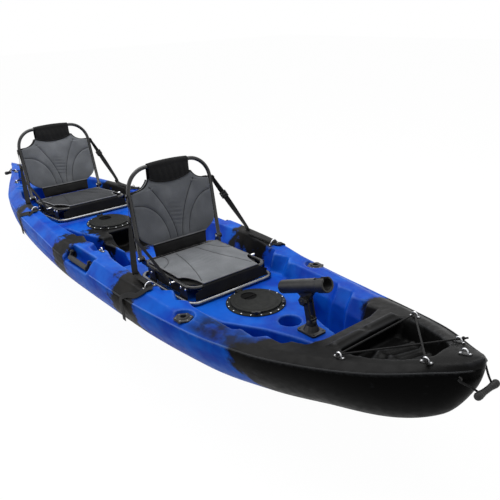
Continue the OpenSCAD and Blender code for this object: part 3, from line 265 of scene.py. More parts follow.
def smooth_rows(rows, x):
    """Every column of a table at the places x, on a curve that never swings past the table's values."""
    rows = np.asarray(rows, float)
    step = np.diff(rows[:, 0])[:, None]
    secant = np.diff(rows, axis=0) / step
    product = secant[:-1] * secant[1:]
    total = secant[:-1] + secant[1:]
    inner = np.where(product > 0, 2 * product / np.where(total == 0, 1, total), 0)
    slope = np.vstack([secant[:1], inner, secant[-1:]])
    x = np.clip(np.atleast_1d(np.asarray(x, float)), rows[0, 0], rows[-1, 0])
    k = np.clip(np.searchsorted(rows[:, 0], x, side="right") - 1, 0, len(rows) - 2)
    h = step[k]
    t = (x[:, None] - rows[k, :1]) / h
    return (rows[k] * (2 * t**3 - 3 * t**2 + 1) + h * slope[k] * (t**3 - 2 * t**2 + t)
            + rows[k + 1] * (3 * t**2 - 2 * t**3) + h * slope[k + 1] * (t**3 - t**2))


def gunwale(x):
    """Half beam and height of the gunwale edge at one place along the hull."""
    row = smooth_rows(HULL_LINES, x)[0]
    return row[1], row[2]


def deck_height(x, y):
    _, half, edge, _, deck, _ = smooth_rows(HULL_LINES, x)[0]
    shoulder = min(SHOULDER, SHOULDER_SHARE * half)
    inside = half - shoulder
    if abs(y) > inside:
        return edge + (deck - edge) * (half - abs(y)) / shoulder
    crown = CROWN if abs(x) > CROWN_FROM else 0.0
    rise = 2 - 2 * abs(y) / inside  # 0 at the shoulder, 1 halfway in and 2 on the middle line
    return deck + crown * (0.7 * min(rise, 1) + 0.3 * max(rise - 1, 0))


# %% [markdown]
# ## The hull's skin and wells
# The real hull is cast in a hot turning mould, so every edge is round and every wall flows into the next.
# Box modelling could do that by hand, but slowly. Instead the skin is lofted through its stations, the
# cockpit, foot wells and other hollows are cut out with booleans, and a voxel remesh with some smoothing
# then rounds all the edges at once, as the mould does.

# %% Meshes from rings
def new_object(name, points, faces, finish=None):
    mesh = bpy.data.meshes.new(name)
    mesh.from_pydata([tuple(p) for p in points], [], faces)
    mesh.update()
    made = bpy.data.objects.new(name, mesh)
    scene.collection.objects.link(made)
    if finish is not None:
        mesh.materials.append(finish)
    return made


def loft_faces(rings, size):
    faces = []
    for i in range(rings - 1):
        for k in range(size):
            n = (k + 1) % size
            faces.append((i * size + k, i * size + n, (i + 1) * size + n, (i + 1) * size + k))
    faces.append(tuple(range(size - 1, -1, -1)))
    faces.append(tuple((rings - 1) * size + k for k in range(size)))
    return faces


def loft(name, rings):
    rings = np.asarray(rings)
    return new_object(name, rings.reshape(-1, 3), loft_faces(rings.shape[0], rings.shape[1]))


SIDE_POINTS, SHOULDER_POINTS, STATIONS = 26, 7, 260
CROWN_RAMP = 0.08


def hull_ring(x):
    """One section of the hull: up the port side from the keel, over the deck and down again."""
    half, edge, keel, deck, power = smooth_rows(HULL_LINES, x)[0][1:]
    a = np.radians(np.linspace(90, 0, SIDE_POINTS))[1:]
    side_y = half * np.cos(a) ** (2 / power)
    side_z = edge - (edge - keel) * np.sin(a) ** (2 / power)
    shoulder = min(SHOULDER, SHOULDER_SHARE * half)
    t = np.linspace(0, 1, SHOULDER_POINTS)[1:]
    crown = CROWN * np.clip((abs(x) - CROWN_FROM) / CROWN_RAMP + 0.5, 0, 1)
    top_y = (half - shoulder) * np.array([0.75, 0.5, 0.25])
    top_z = deck + crown * np.array([0.35, 0.7, 0.85])
    y = np.concatenate([side_y, half - shoulder * t, top_y])
    z = np.concatenate([side_z, edge + (deck - edge) * t, top_z])
    ring = [(x, 0, keel)] + [(x, q, w) for q, w in zip(y, z)] + [(x, 0, deck + crown)]
    return ring + [(x, -q, w) for q, w in zip(y[::-1], z[::-1])]


HULL_HALF = 1.85
skin_x = HULL_HALF * np.sin(np.linspace(-np.pi / 2, np.pi / 2, STATIONS))
skin = loft("hull_skin", [hull_ring(x) for x in skin_x])
print("skin points:", len(skin.data.vertices))

# %% Wells cut into the skin
COCKPIT = [  # length, half width at the floor, half width at the deck
    (-1.105, 0.150, 0.170), (-1.080, 0.196, 0.220), (-0.950, 0.234, 0.258), (-0.780, 0.240, 0.272),
    (-0.600, 0.246, 0.284), (-0.505, 0.248, 0.294), (-0.5025, 0.2485, 0.295), (-0.450, 0.250, 0.300),
    (-0.200, 0.252, 0.304), (-0.150, 0.252, 0.299),
    (-0.122, 0.252, 0.305), (-0.104, 0.246, 0.276), (-0.030, 0.250, 0.298), (0.025, 0.244, 0.285),
    (0.060, 0.258, 0.325), (0.112, 0.258, 0.334), (0.146, 0.240, 0.280), (0.240, 0.262, 0.310),
    (0.430, 0.266, 0.318), (0.575, 0.260, 0.302), (0.619, 0.256, 0.297), (0.646, 0.262, 0.311),
    (0.676, 0.246, 0.267), (0.742, 0.258, 0.306), (0.776, 0.244, 0.266), (0.812, 0.246, 0.277),
    (0.930, 0.241, 0.275), (1.060, 0.232, 0.276), (1.082, 0.214, 0.250), (1.155, 0.216, 0.257),
    (1.180, 0.184, 0.217), (1.258, 0.184, 0.221), (1.278, 0.158, 0.189), (1.335, 0.146, 0.180),
    (1.356, 0.090, 0.110)]
FRONT_FOOT_WELL = [  # length, inner and outer side at the floor, inner and outer side at the top, floor
    (0.790, 0.222, 0.234, 0.214, 0.246, 0.185), (0.900, 0.206, 0.228, 0.200, 0.242, 0.150),
    (0.950, 0.180, 0.226, 0.170, 0.240, 0.140), (1.050, 0.126, 0.218, 0.114, 0.234, 0.138),
    (1.080, 0.114, 0.204, 0.102, 0.218, 0.138), (1.155, 0.088, 0.200, 0.076, 0.218, 0.140),
    (1.180, 0.080, 0.170, 0.068, 0.188, 0.142), (1.258, 0.064, 0.166, 0.052, 0.186, 0.150),
    (1.278, 0.062, 0.142, 0.049, 0.160, 0.154), (1.320, 0.062, 0.130, 0.048, 0.148, 0.168),
    (1.342, 0.072, 0.100, 0.054, 0.128, 0.195)]
REAR_FOOT_WELL = [
    (-0.455, 0.224, 0.236, 0.216, 0.250, 0.185), (-0.345, 0.204, 0.240, 0.196, 0.256, 0.150),
    (-0.200, 0.156, 0.242, 0.146, 0.258, 0.138), (-0.120, 0.140, 0.242, 0.128, 0.260, 0.134),
    (0.000, 0.128, 0.242, 0.116, 0.260, 0.132), (0.026, 0.126, 0.230, 0.114, 0.248, 0.132),
    (0.060, 0.125, 0.240, 0.113, 0.262, 0.132), (0.108, 0.125, 0.238, 0.113, 0.262, 0.134),
    (0.140, 0.132, 0.212, 0.114, 0.240, 0.145), (0.165, 0.144, 0.190, 0.122, 0.220, 0.170)]
MID_FLOOR = [(-0.165, 0.112, 0.116, 0.297), (-0.070, 0.112, 0.118, 0.246), (0.140, 0.112, 0.118, 0.240),
             (0.172, 0.104, 0.118, 0.270)]  # length, half width at the floor and at the top, floor
STERN_WELL = [(-1.585, 0.028, 0.040, 0.300), (-1.555, 0.048, 0.060, 0.285), (-1.350, 0.112, 0.130, 0.270),
              (-1.250, 0.138, 0.160, 0.268), (-1.222, 0.118, 0.140, 0.275)]
BOW_WELL = [(1.452, 0.126, 0.146, 0.348), (1.472, 0.138, 0.160, 0.346), (1.560, 0.116, 0.140, 0.352),
            (1.640, 0.080, 0.102, 0.364), (1.696, 0.044, 0.062, 0.382), (1.714, 0.020, 0.038, 0.392)]
WELL_STEP = 0.009


def along(rows):
    """A table's rows with straight runs between them, so its creases stay where they are."""
    rows = np.asarray(rows, float)
    count = int((rows[-1, 0] - rows[0, 0]) / WELL_STEP) + 2
    x = np.unique(np.round(np.concatenate([np.linspace(rows[0, 0], rows[-1, 0], count), rows[:, 0]]), 4))
    return np.column_stack([np.interp(x, rows[:, 0], column) for column in rows.T])


def well(name, rows, top):
    """A hollow from rows of length, left and right at the floor, left and right at the top, floor height."""
    return loft(name, [[(x, l0, low), (x, r0, low), (x, r1, top), (x, l1, top)]
                       for x, l0, r0, l1, r1, low in rows])


def even_well(name, rows, top):
    """A hollow that is the same to both sides, with its walls carried on past the deck."""
    wide = []
    for x, low_half, top_half, low in rows:
        deck = min(top, smooth_rows(HULL_LINES, x)[0][4])
        reach = low_half + (top_half - low_half) * (top - low) / max(deck - low, 0.02)
        wide.append((x, -low_half, low_half, -reach, reach, low))
    return well(name, wide, top)


BAR_SIDES = 40


def bar_solid(name, start, end, radius):
    start, end = Vector(start), Vector(end)
    turn = (end - start).to_track_quat("Z", "Y").to_matrix()
    circle = [turn @ Vector((radius * math.cos(a), radius * math.sin(a), 0))
              for a in np.linspace(0, 2 * math.pi, BAR_SIDES, endpoint=False)]
    return loft(name, [[tuple(end_at + c) for c in circle] for end_at in (start, end)])


def upright(name, x, y, low, high, radius):
    return bar_solid(name, (x, y, low), (x, y, high), radius)


# %% Sizes and places of the hollows
CLEAR = 0.50  # above every deck
STEP_X, STEP_RUN = -0.168, 0.018  # where the floor rises to the rear cockpit
COCKPIT_TOP, MID_TOP, FOOT_TOP = 0.47, 0.33, 0.012  # the foot wells end this much above their floor
COAMING_X, COAMING_Z, COAMING_RADIUS = 1.424, 0.402, 0.017
COAMING_REACH = (0.016, 0.152)
HATCH_X = (0.866, 0.866 - 1.245)
NECK_RADIUS, NECK_FOOT = 0.0955, 0.20
STORE_RADIUS, STORE_FOOT, STORE_ROOF = 0.112, 0.075, 0.282  # the hollow under each hatch
SCUPPERS, SCUPPER_RADIUS = ((1.080, 0.160), (0.060, 0.185), (-1.300, 0.070)), 0.014
FLUSH_HOLE, FLUSH_LEAN = (-1.166, 0.176), math.radians(8)
FLUSH_RADIUS, FLUSH_DEPTH = 0.024, 0.15
RIM_RADIUS, RIM_UP = 0.033, 0.006
HANDLE = (0.097, 0.388, 0.378)
HANDLE_RECESS, RECESS_IN, RECESS_OUT, RECESS_DOWN = 0.235, 0.028, 0.09, 0.040  # from the handle's place
PORT, PORT_RADIUS, PORT_SLOPE, PORT_DOWN = (0.861, 0.345), 0.043, 0.023, 0.0012
SCOOP_FROM, SCOOP_ANGLE = Vector((-0.240, 0, FLOOR_Z + 0.008)), math.radians(96)  # from straight up
SCOOP_RADIUS, SCOOP_LENGTH = 0.084, 0.15
CUP_X, CUP_RADIUS, CUP_DEPTH = 1.066, 0.044, 0.075
PAST = 0.02  # how far a cutter stands out of the floor

# %% Cutters and added forms
FOOT_WELLS = (("front_foot_cut", FRONT_FOOT_WELL, 0), ("rear_foot_cut", REAR_FOOT_WELL, REAR_STEP))
added = [bar_solid("coaming", (COAMING_X, s * COAMING_REACH[0], COAMING_Z),
                   (COAMING_X, s * COAMING_REACH[1], COAMING_Z), COAMING_RADIUS) for s in (1, -1)]
cockpit_rows = along(COCKPIT)
cockpit_x = cockpit_rows[:, 0]
level_floor = FLOOR_Z + REAR_STEP * np.clip((STEP_X - cockpit_x) / STEP_RUN, 0, 1)
ramp = RAMP_TOP - (RAMP_X - np.maximum(cockpit_x, RAMP_END)) * math.tan(REAR_TILT)
cockpit_floor = np.where(cockpit_x > RAMP_X + 0.002, level_floor, ramp)
cut = [even_well("cockpit_cut", np.column_stack([cockpit_rows, cockpit_floor]), COCKPIT_TOP)]
cut.append(even_well("mid_floor_cut", along(MID_FLOOR), MID_TOP))
cut.append(even_well("stern_well_cut", along(STERN_WELL), CLEAR))
cut.append(even_well("bow_well_cut", along(BOW_WELL), CLEAR))
for side in (1, -1):
    for name, rows, step_up in FOOT_WELLS:
        r = along(rows)
        inner, outer = (1, 2) if side > 0 else (2, 1)
        sides = side * r[:, [inner, outer, inner + 2, outer + 2]]
        cut.append(well(name, np.column_stack([r[:, 0], sides, r[:, 5]]), FLOOR_Z + FOOT_TOP + step_up))
    for x, y in SCUPPERS:
        cut.append(upright("scupper_cut", x, side * y, -0.05, FLOOR_Z + 0.01, SCUPPER_RADIUS))
    rim = Vector((FLUSH_HOLE[0], side * FLUSH_HOLE[1], deck_height(*FLUSH_HOLE)))
    lean = Vector((-math.sin(FLUSH_LEAN), 0, math.cos(FLUSH_LEAN)))
    added.append(bar_solid("rod_rim", rim - lean * PAST, rim + lean * RIM_UP, RIM_RADIUS))
    cut.append(bar_solid("rod_hole_cut", rim - lean * FLUSH_DEPTH, rim + lean * 0.05, FLUSH_RADIUS))
    left, right_side = sorted((side * (HANDLE[1] - RECESS_IN), side * (HANDLE[1] + RECESS_OUT)))
    cut.append(well("handle_cut", [(HANDLE[0] + s * HANDLE_RECESS / 2, left, right_side, left, right_side,
                                    HANDLE[2] - RECESS_DOWN) for s in (-1, 1)], CLEAR))
scoop_way = Vector((math.sin(SCOOP_ANGLE), 0, math.cos(SCOOP_ANGLE)))
cut.append(bar_solid("scoop_cut", SCOOP_FROM, SCOOP_FROM + scoop_way * SCOOP_LENGTH, SCOOP_RADIUS))
cut.append(upright("cup_cut", CUP_X, 0, FLOOR_Z - CUP_DEPTH, FLOOR_Z + PAST, CUP_RADIUS))
for x, step_up in zip(HATCH_X, (0, REAR_STEP)):
    cut.append(upright("hatch_neck_cut", x, 0, NECK_FOOT, FLOOR_Z + step_up + PAST, NECK_RADIUS))
    cut.append(upright("hatch_store_cut", x, 0, STORE_FOOT, STORE_ROOF + step_up, STORE_RADIUS))
port_z = deck_height(PORT[0], PORT[1] + PORT_SLOPE) - PORT_DOWN
for side in (1, -1):
    cut.append(upright("port_cut", PORT[0], side * PORT[1], port_z, 0.45, PORT_RADIUS))
print("cutters:", len(cut), "added forms:", len(added))

# %% [markdown]
# ## One round-edged moulding
# Each cutter becomes a Boolean modifier on the skin, then Remesh and Smooth finish it. The stack is
# evaluated once and kept as a plain mesh, so the helpers can be deleted. After that, small moulded marks
# such as the ribs in the bow well are pressed into the points with simple formulas.

# %% Cut, remesh and smooth the hull
HULL_VOXEL = 0.0062
HULL_SMOOTHING = 4


def bake(maker, name, finish=None):
    """The evaluated mesh of an object as a new plain object."""
    graph = bpy.context.evaluated_depsgraph_get()
    mesh = bpy.data.meshes.new_from_object(maker.evaluated_get(graph))
    mesh.name = name
    made = bpy.data.objects.new(name, mesh)
    scene.collection.objects.link(made)
    mesh.materials.clear()
    if finish is not None:
        mesh.materials.append(finish)
    return made


def discard(*objects):
    for thing in objects:
        bpy.data.objects.remove(thing, do_unlink=True)


for operation, tools in (("UNION", added), ("DIFFERENCE", cut)):
    for tool in tools:
        step = skin.modifiers.new(tool.name, "BOOLEAN")
        step.operation = operation
        step.object = tool
        step.solver = "MANIFOLD"
voxels = skin.modifiers.new("voxels", "REMESH")
voxels.mode = "VOXEL"
voxels.voxel_size = HULL_VOXEL
rounding = skin.modifiers.new("rounding", "SMOOTH")
rounding.factor = 0.5
rounding.iterations = HULL_SMOOTHING
hull = bake(skin, "moulded_hull")
discard(skin, *added, *cut)
print("hull faces:", len(hull.data.polygons))

# %% Ribs, creases and shading
def points_of(thing):
    flat_list = np.empty(len(thing.data.vertices) * 3, np.float32)
    thing.data.vertices.foreach_get("co", flat_list)
    return flat_list.reshape(-1, 3).astype(float)


def normals_of(thing):
    flat_list = np.empty(len(thing.data.vertices) * 3, np.float32)
    thing.data.vertex_normals.foreach_get("vector", flat_list)
    return flat_list.reshape(-1, 3).astype(float)


def set_points(thing, points):
    thing.data.vertices.foreach_set("co", points.astype(np.float32).ravel())
    thing.data.update()


def bell(distance, width):
    return np.exp(-(distance / width) ** 2)


def ridges_of(thing, points):
    """How sharply the surface bends outward at each point, evened out over the neighbours."""
    facing = normals_of(thing)
    ends = np.empty(len(thing.data.edges) * 2, np.int32)
    thing.data.edges.foreach_get("vertices", ends)
    ends = ends.reshape(-1, 2)
    here, there = np.concatenate([ends, ends[:, ::-1]]).T
    run = points[here] - points[there]
    bend = np.einsum("ij,ij->i", facing[here], run) / np.maximum(np.einsum("ij,ij->i", run, run), 1e-12)
    count = np.maximum(np.bincount(here, minlength=len(points)), 1)
    bend = np.bincount(here, bend, len(points)) / count
    for _ in range(2):
        bend = 0.5 * bend + 0.5 * np.bincount(here, bend[there], len(points)) / count
    return bend


BOW_RIBS, RIB_SWEEP, RIB_WIDTH, RIB_HEIGHT = (1.485, 1.535, 1.585), 0.35, 0.009, 0.007
MIDDLE_RIB = (0.010, 0.006)  # width and height of the rib along the middle line
CREASE_DOWN, CREASE_WIDTH, CREASE_DEPTH = 0.075, 0.012, 0.004  # a line below the gunwale, toward the stern
HIGHLIT_FROM, HIGHLIT_RANGE = 9, 16  # bend per metre at which an edge starts to get its painted highlight, and from there to the full highlight
place = points_of(hull)
facing = normals_of(hull)
x, y, z = place.T
_, half_beam, edge_line, _, deck_line, _ = smooth_rows(HULL_LINES, x).T
in_bow_well = (x > 1.46) & (x < 1.72) & (facing[:, 2] > 0.6) & (z < deck_line - 0.03)
rib = sum(bell(x - start - RIB_SWEEP * np.abs(y), RIB_WIDTH) for start in BOW_RIBS) * RIB_HEIGHT
rib += bell(y, MIDDLE_RIB[0]) * MIDDLE_RIB[1]
place[:, 2] += np.where(in_bow_well, rib, 0)
outside = (facing[:, 1] * np.sign(y) > 0.5) & (np.abs(y) > half_beam * 0.8)
crease = bell(z - (edge_line - CREASE_DOWN), CREASE_WIDTH)
crease *= np.clip((x + 1.1) / 0.3, 0, 1) * np.clip(-x / 0.2, 0, 1)
place[:, 1] -= np.where(outside, np.sign(y) * crease * CREASE_DEPTH, 0)
set_points(hull, place)
hull.data.shade_smooth()
# Convex edges get a painted highlight: their bend is kept as an attribute that lightens the colour there.
wear_and_highlight = np.clip((ridges_of(hull, place) - HIGHLIT_FROM) / HIGHLIT_RANGE, 0, 1)
layer = hull.data.attributes.new("edge_highlight", "FLOAT", "POINT")
layer.data.foreach_set("value", wear_and_highlight.astype(np.float32))
print("worn edge points:", int((wear_and_highlight > 0.5).sum()))
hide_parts("hull")
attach(hull, "hull")
print("hull box:", place.min(0).round(3), place.max(0).round(3))

# %% [markdown]
# ## The hull's finish
# The plastic powder is tipped into the mould in two colours, so dark clouds run into the blue with mottled
# edges. Painting an image would tie the pattern to one mesh. Nodes that measure the place along the boat
# work from every side: each cloud is a stretch of length and of beam, and two noises fray its edge.

# %% Blue plastic with dark clouds
BLUE = rgb(14, 93, 202)
DEEP_BLUE = rgb(6, 61, 174)
BOW_BLACK = rgb(5, 5, 5)
CLOUD_GREY = rgb(8, 8, 9)
CLOUD_BROWN = rgb(17, 15, 13)
CLOUDS = (  # length from and to, beam from and to
    (-0.83, -0.70, -0.60, -0.20), (-0.95, -0.66, 0.22, 0.60), (-0.175, -0.02, -0.60, -0.235),
    (-0.25, -0.02, 0.24, 0.60), (0.42, 0.62, -0.60, -0.25), (0.30, 0.63, 0.235, 0.60),
    (-0.34, -0.02, -0.17, 0.17))
BOW_FROM = (1.10, 1.17, 1.26)  # on the starboard side, on its deck, and inside
SMOKE = (0.84, 0.98, 1.30, 1.40)  # the starboard deck is smoky here, ahead of the black bow


def hull_finish(name, lift, shine):
    """The clouded plastic, with a painted highlight along its convex edges. Lift is a share of the painted
    highlight colour laid all over, for the parting bead.
    """
    finish = Finish(name, Roughness=0.42, Specular_IOR_Level=shine)
    parts = finish.add("ShaderNodeSeparateXYZ", finish.place).node
    x, y, z = parts.outputs
    wide = finish.math("SUBTRACT", finish.noise(5.0, 3.0), 0.5)
    fine = finish.math("SUBTRACT", finish.noise(26.0, 4.0, roughness=0.65), 0.5)
    fray = finish.math("ADD", finish.math("MULTIPLY", wide, 0.20), finish.math("MULTIPLY", fine, 0.13))
    slanted = finish.math("ADD", x, finish.math("MULTIPLY", finish.math("SUBTRACT", 0.38, z), 0.25))
    clouds = None
    for start, stop, low, high in CLOUDS:
        inside = finish.math("MINIMUM", finish.math("SUBTRACT", slanted, start),
                             finish.math("SUBTRACT", stop, slanted))
        across = finish.math("MINIMUM", finish.math("SUBTRACT", y, low), finish.math("SUBTRACT", high, y))
        depth = finish.math("ADD", finish.math("MINIMUM", inside, across), fray)
        cloud = finish.fade(depth, -0.008, 0.018)
        clouds = cloud if clouds is None else finish.math("MAXIMUM", clouds, cloud)
    bow_edge = finish.math("ADD", finish.fade(y, -0.335, -0.275, BOW_FROM[0], BOW_FROM[1]),
                           finish.fade(y, -0.26, -0.12, 0.0, BOW_FROM[2] - BOW_FROM[1]))
    bow_depth = finish.math("ADD", finish.math("SUBTRACT", x, bow_edge), finish.math("MULTIPLY", fray, 0.8))
    bow = finish.fade(bow_depth, -0.018, 0.022)
    blue = finish.blend(finish.fade(finish.noise(9.0, 3.0), 0.35, 0.7), BLUE, DEEP_BLUE)
    grey = finish.blend(finish.fade(finish.noise(14.0, 4.0), 0.4, 0.65), CLOUD_GREY, CLOUD_BROWN)
    dark = finish.blend(finish.fade(bow_depth, 0.0, 0.16), grey, BOW_BLACK)
    colour = finish.blend(finish.math("MAXIMUM", clouds, bow), blue, dark)
    smoke = finish.fade(finish.noise(17.0, 4.0), 0.34, 0.56, 0.45, 0.92)
    for share in (finish.fade(x, SMOKE[0], SMOKE[1]), finish.fade(x, SMOKE[2], SMOKE[3], 1.0, 0.0),
                  finish.fade(y, -0.30, -0.20, 1.0, 0.0), finish.fade(z, 0.335, 0.355)):
        smoke = finish.math("MULTIPLY", smoke, share)
    colour = finish.blend(smoke, colour, CLOUD_GREY)
    # Painted highlight: a pale blue, or a light grey on the clouds, along convex edges and over the whole
    # bead.
    edge_highlight = finish.add("ShaderNodeAttribute", output="Fac", settings={"attribute_name": "edge_highlight"})
    highlight_colour = finish.blend(finish.math("MAXIMUM", clouds, bow), rgb(150, 190, 245), rgb(104, 106, 110))
    colour = finish.blend(finish.math("MULTIPLY", edge_highlight, 0.16), colour, highlight_colour)
    if lift:
        colour = finish.blend(lift, colour, highlight_colour)
    scuffs = finish.fade(finish.noise(60.0, 5.0, finish.stretch(0.25, 1, 1)), 0.62, 0.8)
    finish.set(Base_Color=finish.blend(finish.math("MULTIPLY", scuffs, 0.03), colour, rgb(150, 156, 165)))
    finish.set(Roughness=finish.fade(finish.noise(40.0, 3.0), 0.2, 0.8, 0.34, 0.50))
    finish.bump(finish.noise(900.0, 2.0), 0.12, 0.0004)
    return finish.material


hull.data.materials.append(hull_finish("clouded_plastic", 0, 0.08))
hull.data.materials.append(hull_finish("clouded_side", 0, 0.02))
centres = np.empty(len(hull.data.polygons) * 3, np.float32)
hull.data.polygons.foreach_get("center", centres)
x, y, z = centres.reshape(-1, 3).astype(float).T
half, edge, keel, _, power = smooth_rows(HULL_LINES, x).T[1:]
fall = np.clip((edge - z) / (edge - keel), 0, 2)
on_side = (z < edge - 0.002) & ((np.abs(y) / half) ** power + fall ** power > 0.88)
hull.data.polygons.foreach_set("material_index", on_side.astype(np.int32))
print("clouds:", len(CLOUDS))

# %% [markdown]
# ## The parting bead
# The two halves of the mould meet along the gunwale and leave a narrow raised line, whose paler colour is a
# painted highlight. It is too thin for the hull's voxels, so it is a strip of its own, swept along the edge
# line.

# %% Sweeps along a route
def tube_rings(route, radius, sides, wide=None, thick=None, across=None):
    """Rings of points along a route. With across, the section is flat: wide along it and thick over it."""
    route = [Vector(p) for p in route]
    rings = []
    side = None
    for i, at in enumerate(route):
        heading = (route[min(i + 1, len(route) - 1)] - route[max(i - 1, 0)]).normalized()
        if across is not None:
            side = Vector(across[i])
        elif side is None:
            side = Vector((0, 0, 1)) if abs(heading.z) < 0.9 else Vector((1, 0, 0))
        side = (side - heading * side.dot(heading)).normalized()
        over = heading.cross(side)
        ring = []
        for a in np.linspace(0, 2 * math.pi, sides, endpoint=False):
            c, s = math.cos(a), math.sin(a)
            if across is None:
                ring.append(at + side * radius * c + over * radius * s)
            else:
                corner = 0.35
                c = math.copysign(abs(c) ** corner, c)
                s = math.copysign(abs(s) ** corner, s)
                ring.append(at + side * wide / 2 * c + over * thick / 2 * s)
        rings.append(ring)
    return rings


def swept(name, rings, finish):
    """A closed sweep with lengths along it as UV, so that a weave can follow it."""
    rings = np.array([[tuple(p) for p in ring] for ring in rings])
    count, sides = rings.shape[:2]
    made = new_object(name, rings.reshape(-1, 3), loft_faces(count, sides), finish)
    run = np.concatenate([[0], np.cumsum(np.linalg.norm(np.diff(rings.mean(1), axis=0), axis=1))])
    girth = np.linalg.norm(rings - np.roll(rings, 1, axis=1), axis=2).sum(1).mean()
    layer = made.data.uv_layers.new(name="along")
    for face in made.data.polygons:
        for corner in face.loop_indices:
            ring, k = divmod(made.data.loops[corner].vertex_index, sides)
            layer.data[corner].uv = (girth * k / sides, run[ring])
    made.data.shade_smooth()
    return made


def rounded(route, steps):
    """A smooth curve through route points."""
    p = np.array([tuple(q) for q in route], float)
    ends = np.vstack([2 * p[0] - p[1], p, 2 * p[-1] - p[-2]])
    out = []
    for i in range(1, len(ends) - 2):
        a, b, c, d = ends[i - 1:i + 3]
        for t in np.linspace(0, 1, steps, endpoint=False):
            out.append(0.5 * (2 * b + (c - a) * t + (2 * a - 5 * b + 4 * c - d) * t**2
                              + (3 * b - a - 3 * c + d) * t**3))
    return np.vstack(out + [p[-1]])


BEAD_RADIUS, BEAD_END, BEAD_POINTS = 0.0024, 1.835, 150
BEAD_TUCK = 0.030, 0.012  # in and down, out of sight where a handle's recess breaks the line
BEAD_FADE = 0.006
# The bead takes a fifth of the painted highlight colour all over.
bead_finish = hull_finish("bead_painted_highlight", 0.20, 0.12)
bead_x = BEAD_END * np.sin(np.linspace(-np.pi / 2, np.pi / 2, BEAD_POINTS))
for side, word in SIDES:
    route = []
    for at in bead_x:
        half, edge = gunwale(at)
        tuck = np.clip((HANDLE_RECESS / 2 + BEAD_FADE - abs(at - HANDLE[0])) / BEAD_FADE, 0, 1)
        route.append((at, side * (half - 0.0015 - BEAD_TUCK[0] * tuck), edge + 0.001 - BEAD_TUCK[1] * tuck))
    bead = swept("parting_bead_" + word, tube_rings(route, BEAD_RADIUS, 8), bead_finish)
    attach(bead, "hull")
print("bead length:", round(sum((Vector(b) - Vector(a)).length for a, b in zip(route, route[1:])), 3))

# %% [markdown]
# ## Hard finishes
# Fittings are black moulded plastic with a fine spark-eroded grain, hatch lids a coarser grain, fasteners
# bright steel, and the seat tubes powder coat or satin aluminium. Each gets its own small set of nodes:
# a base colour with slight dirt, a roughness that varies, and a bump at the right scale.

# %% Plastic, steel, tube and rubber
def grained_plastic(name, colour, wear_and_highlight, grain, roughness, shine=0.4):
    finish = Finish(name, Specular_IOR_Level=shine)
    dust = finish.fade(finish.noise(18.0, 4.0), 0.45, 0.8)
    finish.set(Base_Color=finish.blend(finish.math("MULTIPLY", dust, 0.55), colour, wear_and_highlight))
    finish.set(Roughness=finish.fade(finish.noise(55.0, 3.0), 0.2, 0.8, roughness - 0.07, roughness + 0.10))
    finish.bump(finish.noise(grain, 3.0), 0.22, 0.0005)
    return finish.material


def polished_steel():
    finish = Finish("bright_steel", Metallic=1.0)
    streaks = finish.noise(120.0, 3.0, finish.stretch(1, 1, 9))
    finish.set(Base_Color=finish.blend(streaks, rgb(196, 198, 202), rgb(228, 229, 231)))
    finish.set(Roughness=finish.fade(streaks, 0.2, 0.8, 0.16, 0.32))
    finish.bump(streaks, 0.05, 0.0002)
    return finish.material


def drawn_tube(name, first, second, metallic, low, high):
    finish = Finish(name, Metallic=metallic, Specular_IOR_Level=0.5)
    cloud = finish.noise(30.0, 4.0)
    finish.set(Base_Color=finish.blend(finish.fade(cloud, 0.35, 0.7), first, second))
    finish.set(Roughness=finish.fade(finish.noise(80.0, 3.0), 0.2, 0.8, low, high))
    finish.bump(finish.noise(1500.0, 2.0), 0.10, 0.0002)
    return finish.material


black_plastic = grained_plastic("black_moulding", rgb(24, 24, 25), rgb(46, 46, 47), 1400.0, 0.42)
lid_plastic = grained_plastic("lid_moulding", rgb(30, 31, 30), rgb(41, 42, 39), 700.0, 0.60, 0.12)
# Near black: painted shade for the hatch lids' finger recesses.
recess_painted_shade = grained_plastic("finger_recess_painted_shade", rgb(5, 5, 5), rgb(10, 10, 10), 900.0, 0.60, 0.06)
grip_rubber = grained_plastic("soft_grip", rgb(30, 30, 30), rgb(44, 43, 42), 500.0, 0.62)
seal_rubber = grained_plastic("seal_rubber", rgb(92, 94, 94), rgb(116, 117, 116), 600.0, 0.60)
steel = polished_steel()
aluminium = drawn_tube("satin_aluminium", rgb(112, 113, 115), rgb(134, 135, 137), 1.0, 0.20, 0.32)
black_steel = drawn_tube("blackened_steel", rgb(30, 30, 31), rgb(44, 44, 45), 1.0, 0.35, 0.50)
black_tube = drawn_tube("black_powder_coat", rgb(20, 20, 21), rgb(32, 32, 33), 0.0, 0.20, 0.34)
FINISH_OF_SLOT = {"black_plastic": black_plastic, "lid_plastic": lid_plastic, "steel": steel,
                  "gasket_rubber": seal_rubber, "aluminium_tube": aluminium, "black_tube": black_tube}
print("hard finishes:", len(FINISH_OF_SLOT))

# %% [markdown]
# ## Hard pieces from the frame
# Rings, lids, latches, screws, eyes and the rod holder already have the right shape as solids, but their
# edges are knife sharp, which no moulding has. A copy of each mesh gets a small bevel, so its edges catch
# the light. The copy stands for the solid and rides on the same body.

# %% Bevelled copies of the solids
def copy_of(node, name, finish):
    made = bpy.data.objects.new(name, frame["nodes"][node].data.copy())
    scene.collection.objects.link(made)
    made.data.materials.clear()
    made.data.materials.append(finish)
    work = bmesh.new()
    work.from_mesh(made.data)
    bmesh.ops.remove_doubles(work, verts=work.verts, dist=1e-6)
    bmesh.ops.dissolve_limit(work, angle_limit=math.radians(1.0), verts=work.verts, edges=work.edges)
    work.to_mesh(made.data)
    work.free()
    return made


def stand_for(made, *nodes):
    """The piece replaces the nodes and rides on their body."""
    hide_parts(*nodes)
    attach(made, body_of[nodes[0]])


BEVEL_ANGLE = math.radians(38)
MITRE = math.radians(42)  # edges sharper than this keep a sharp shading


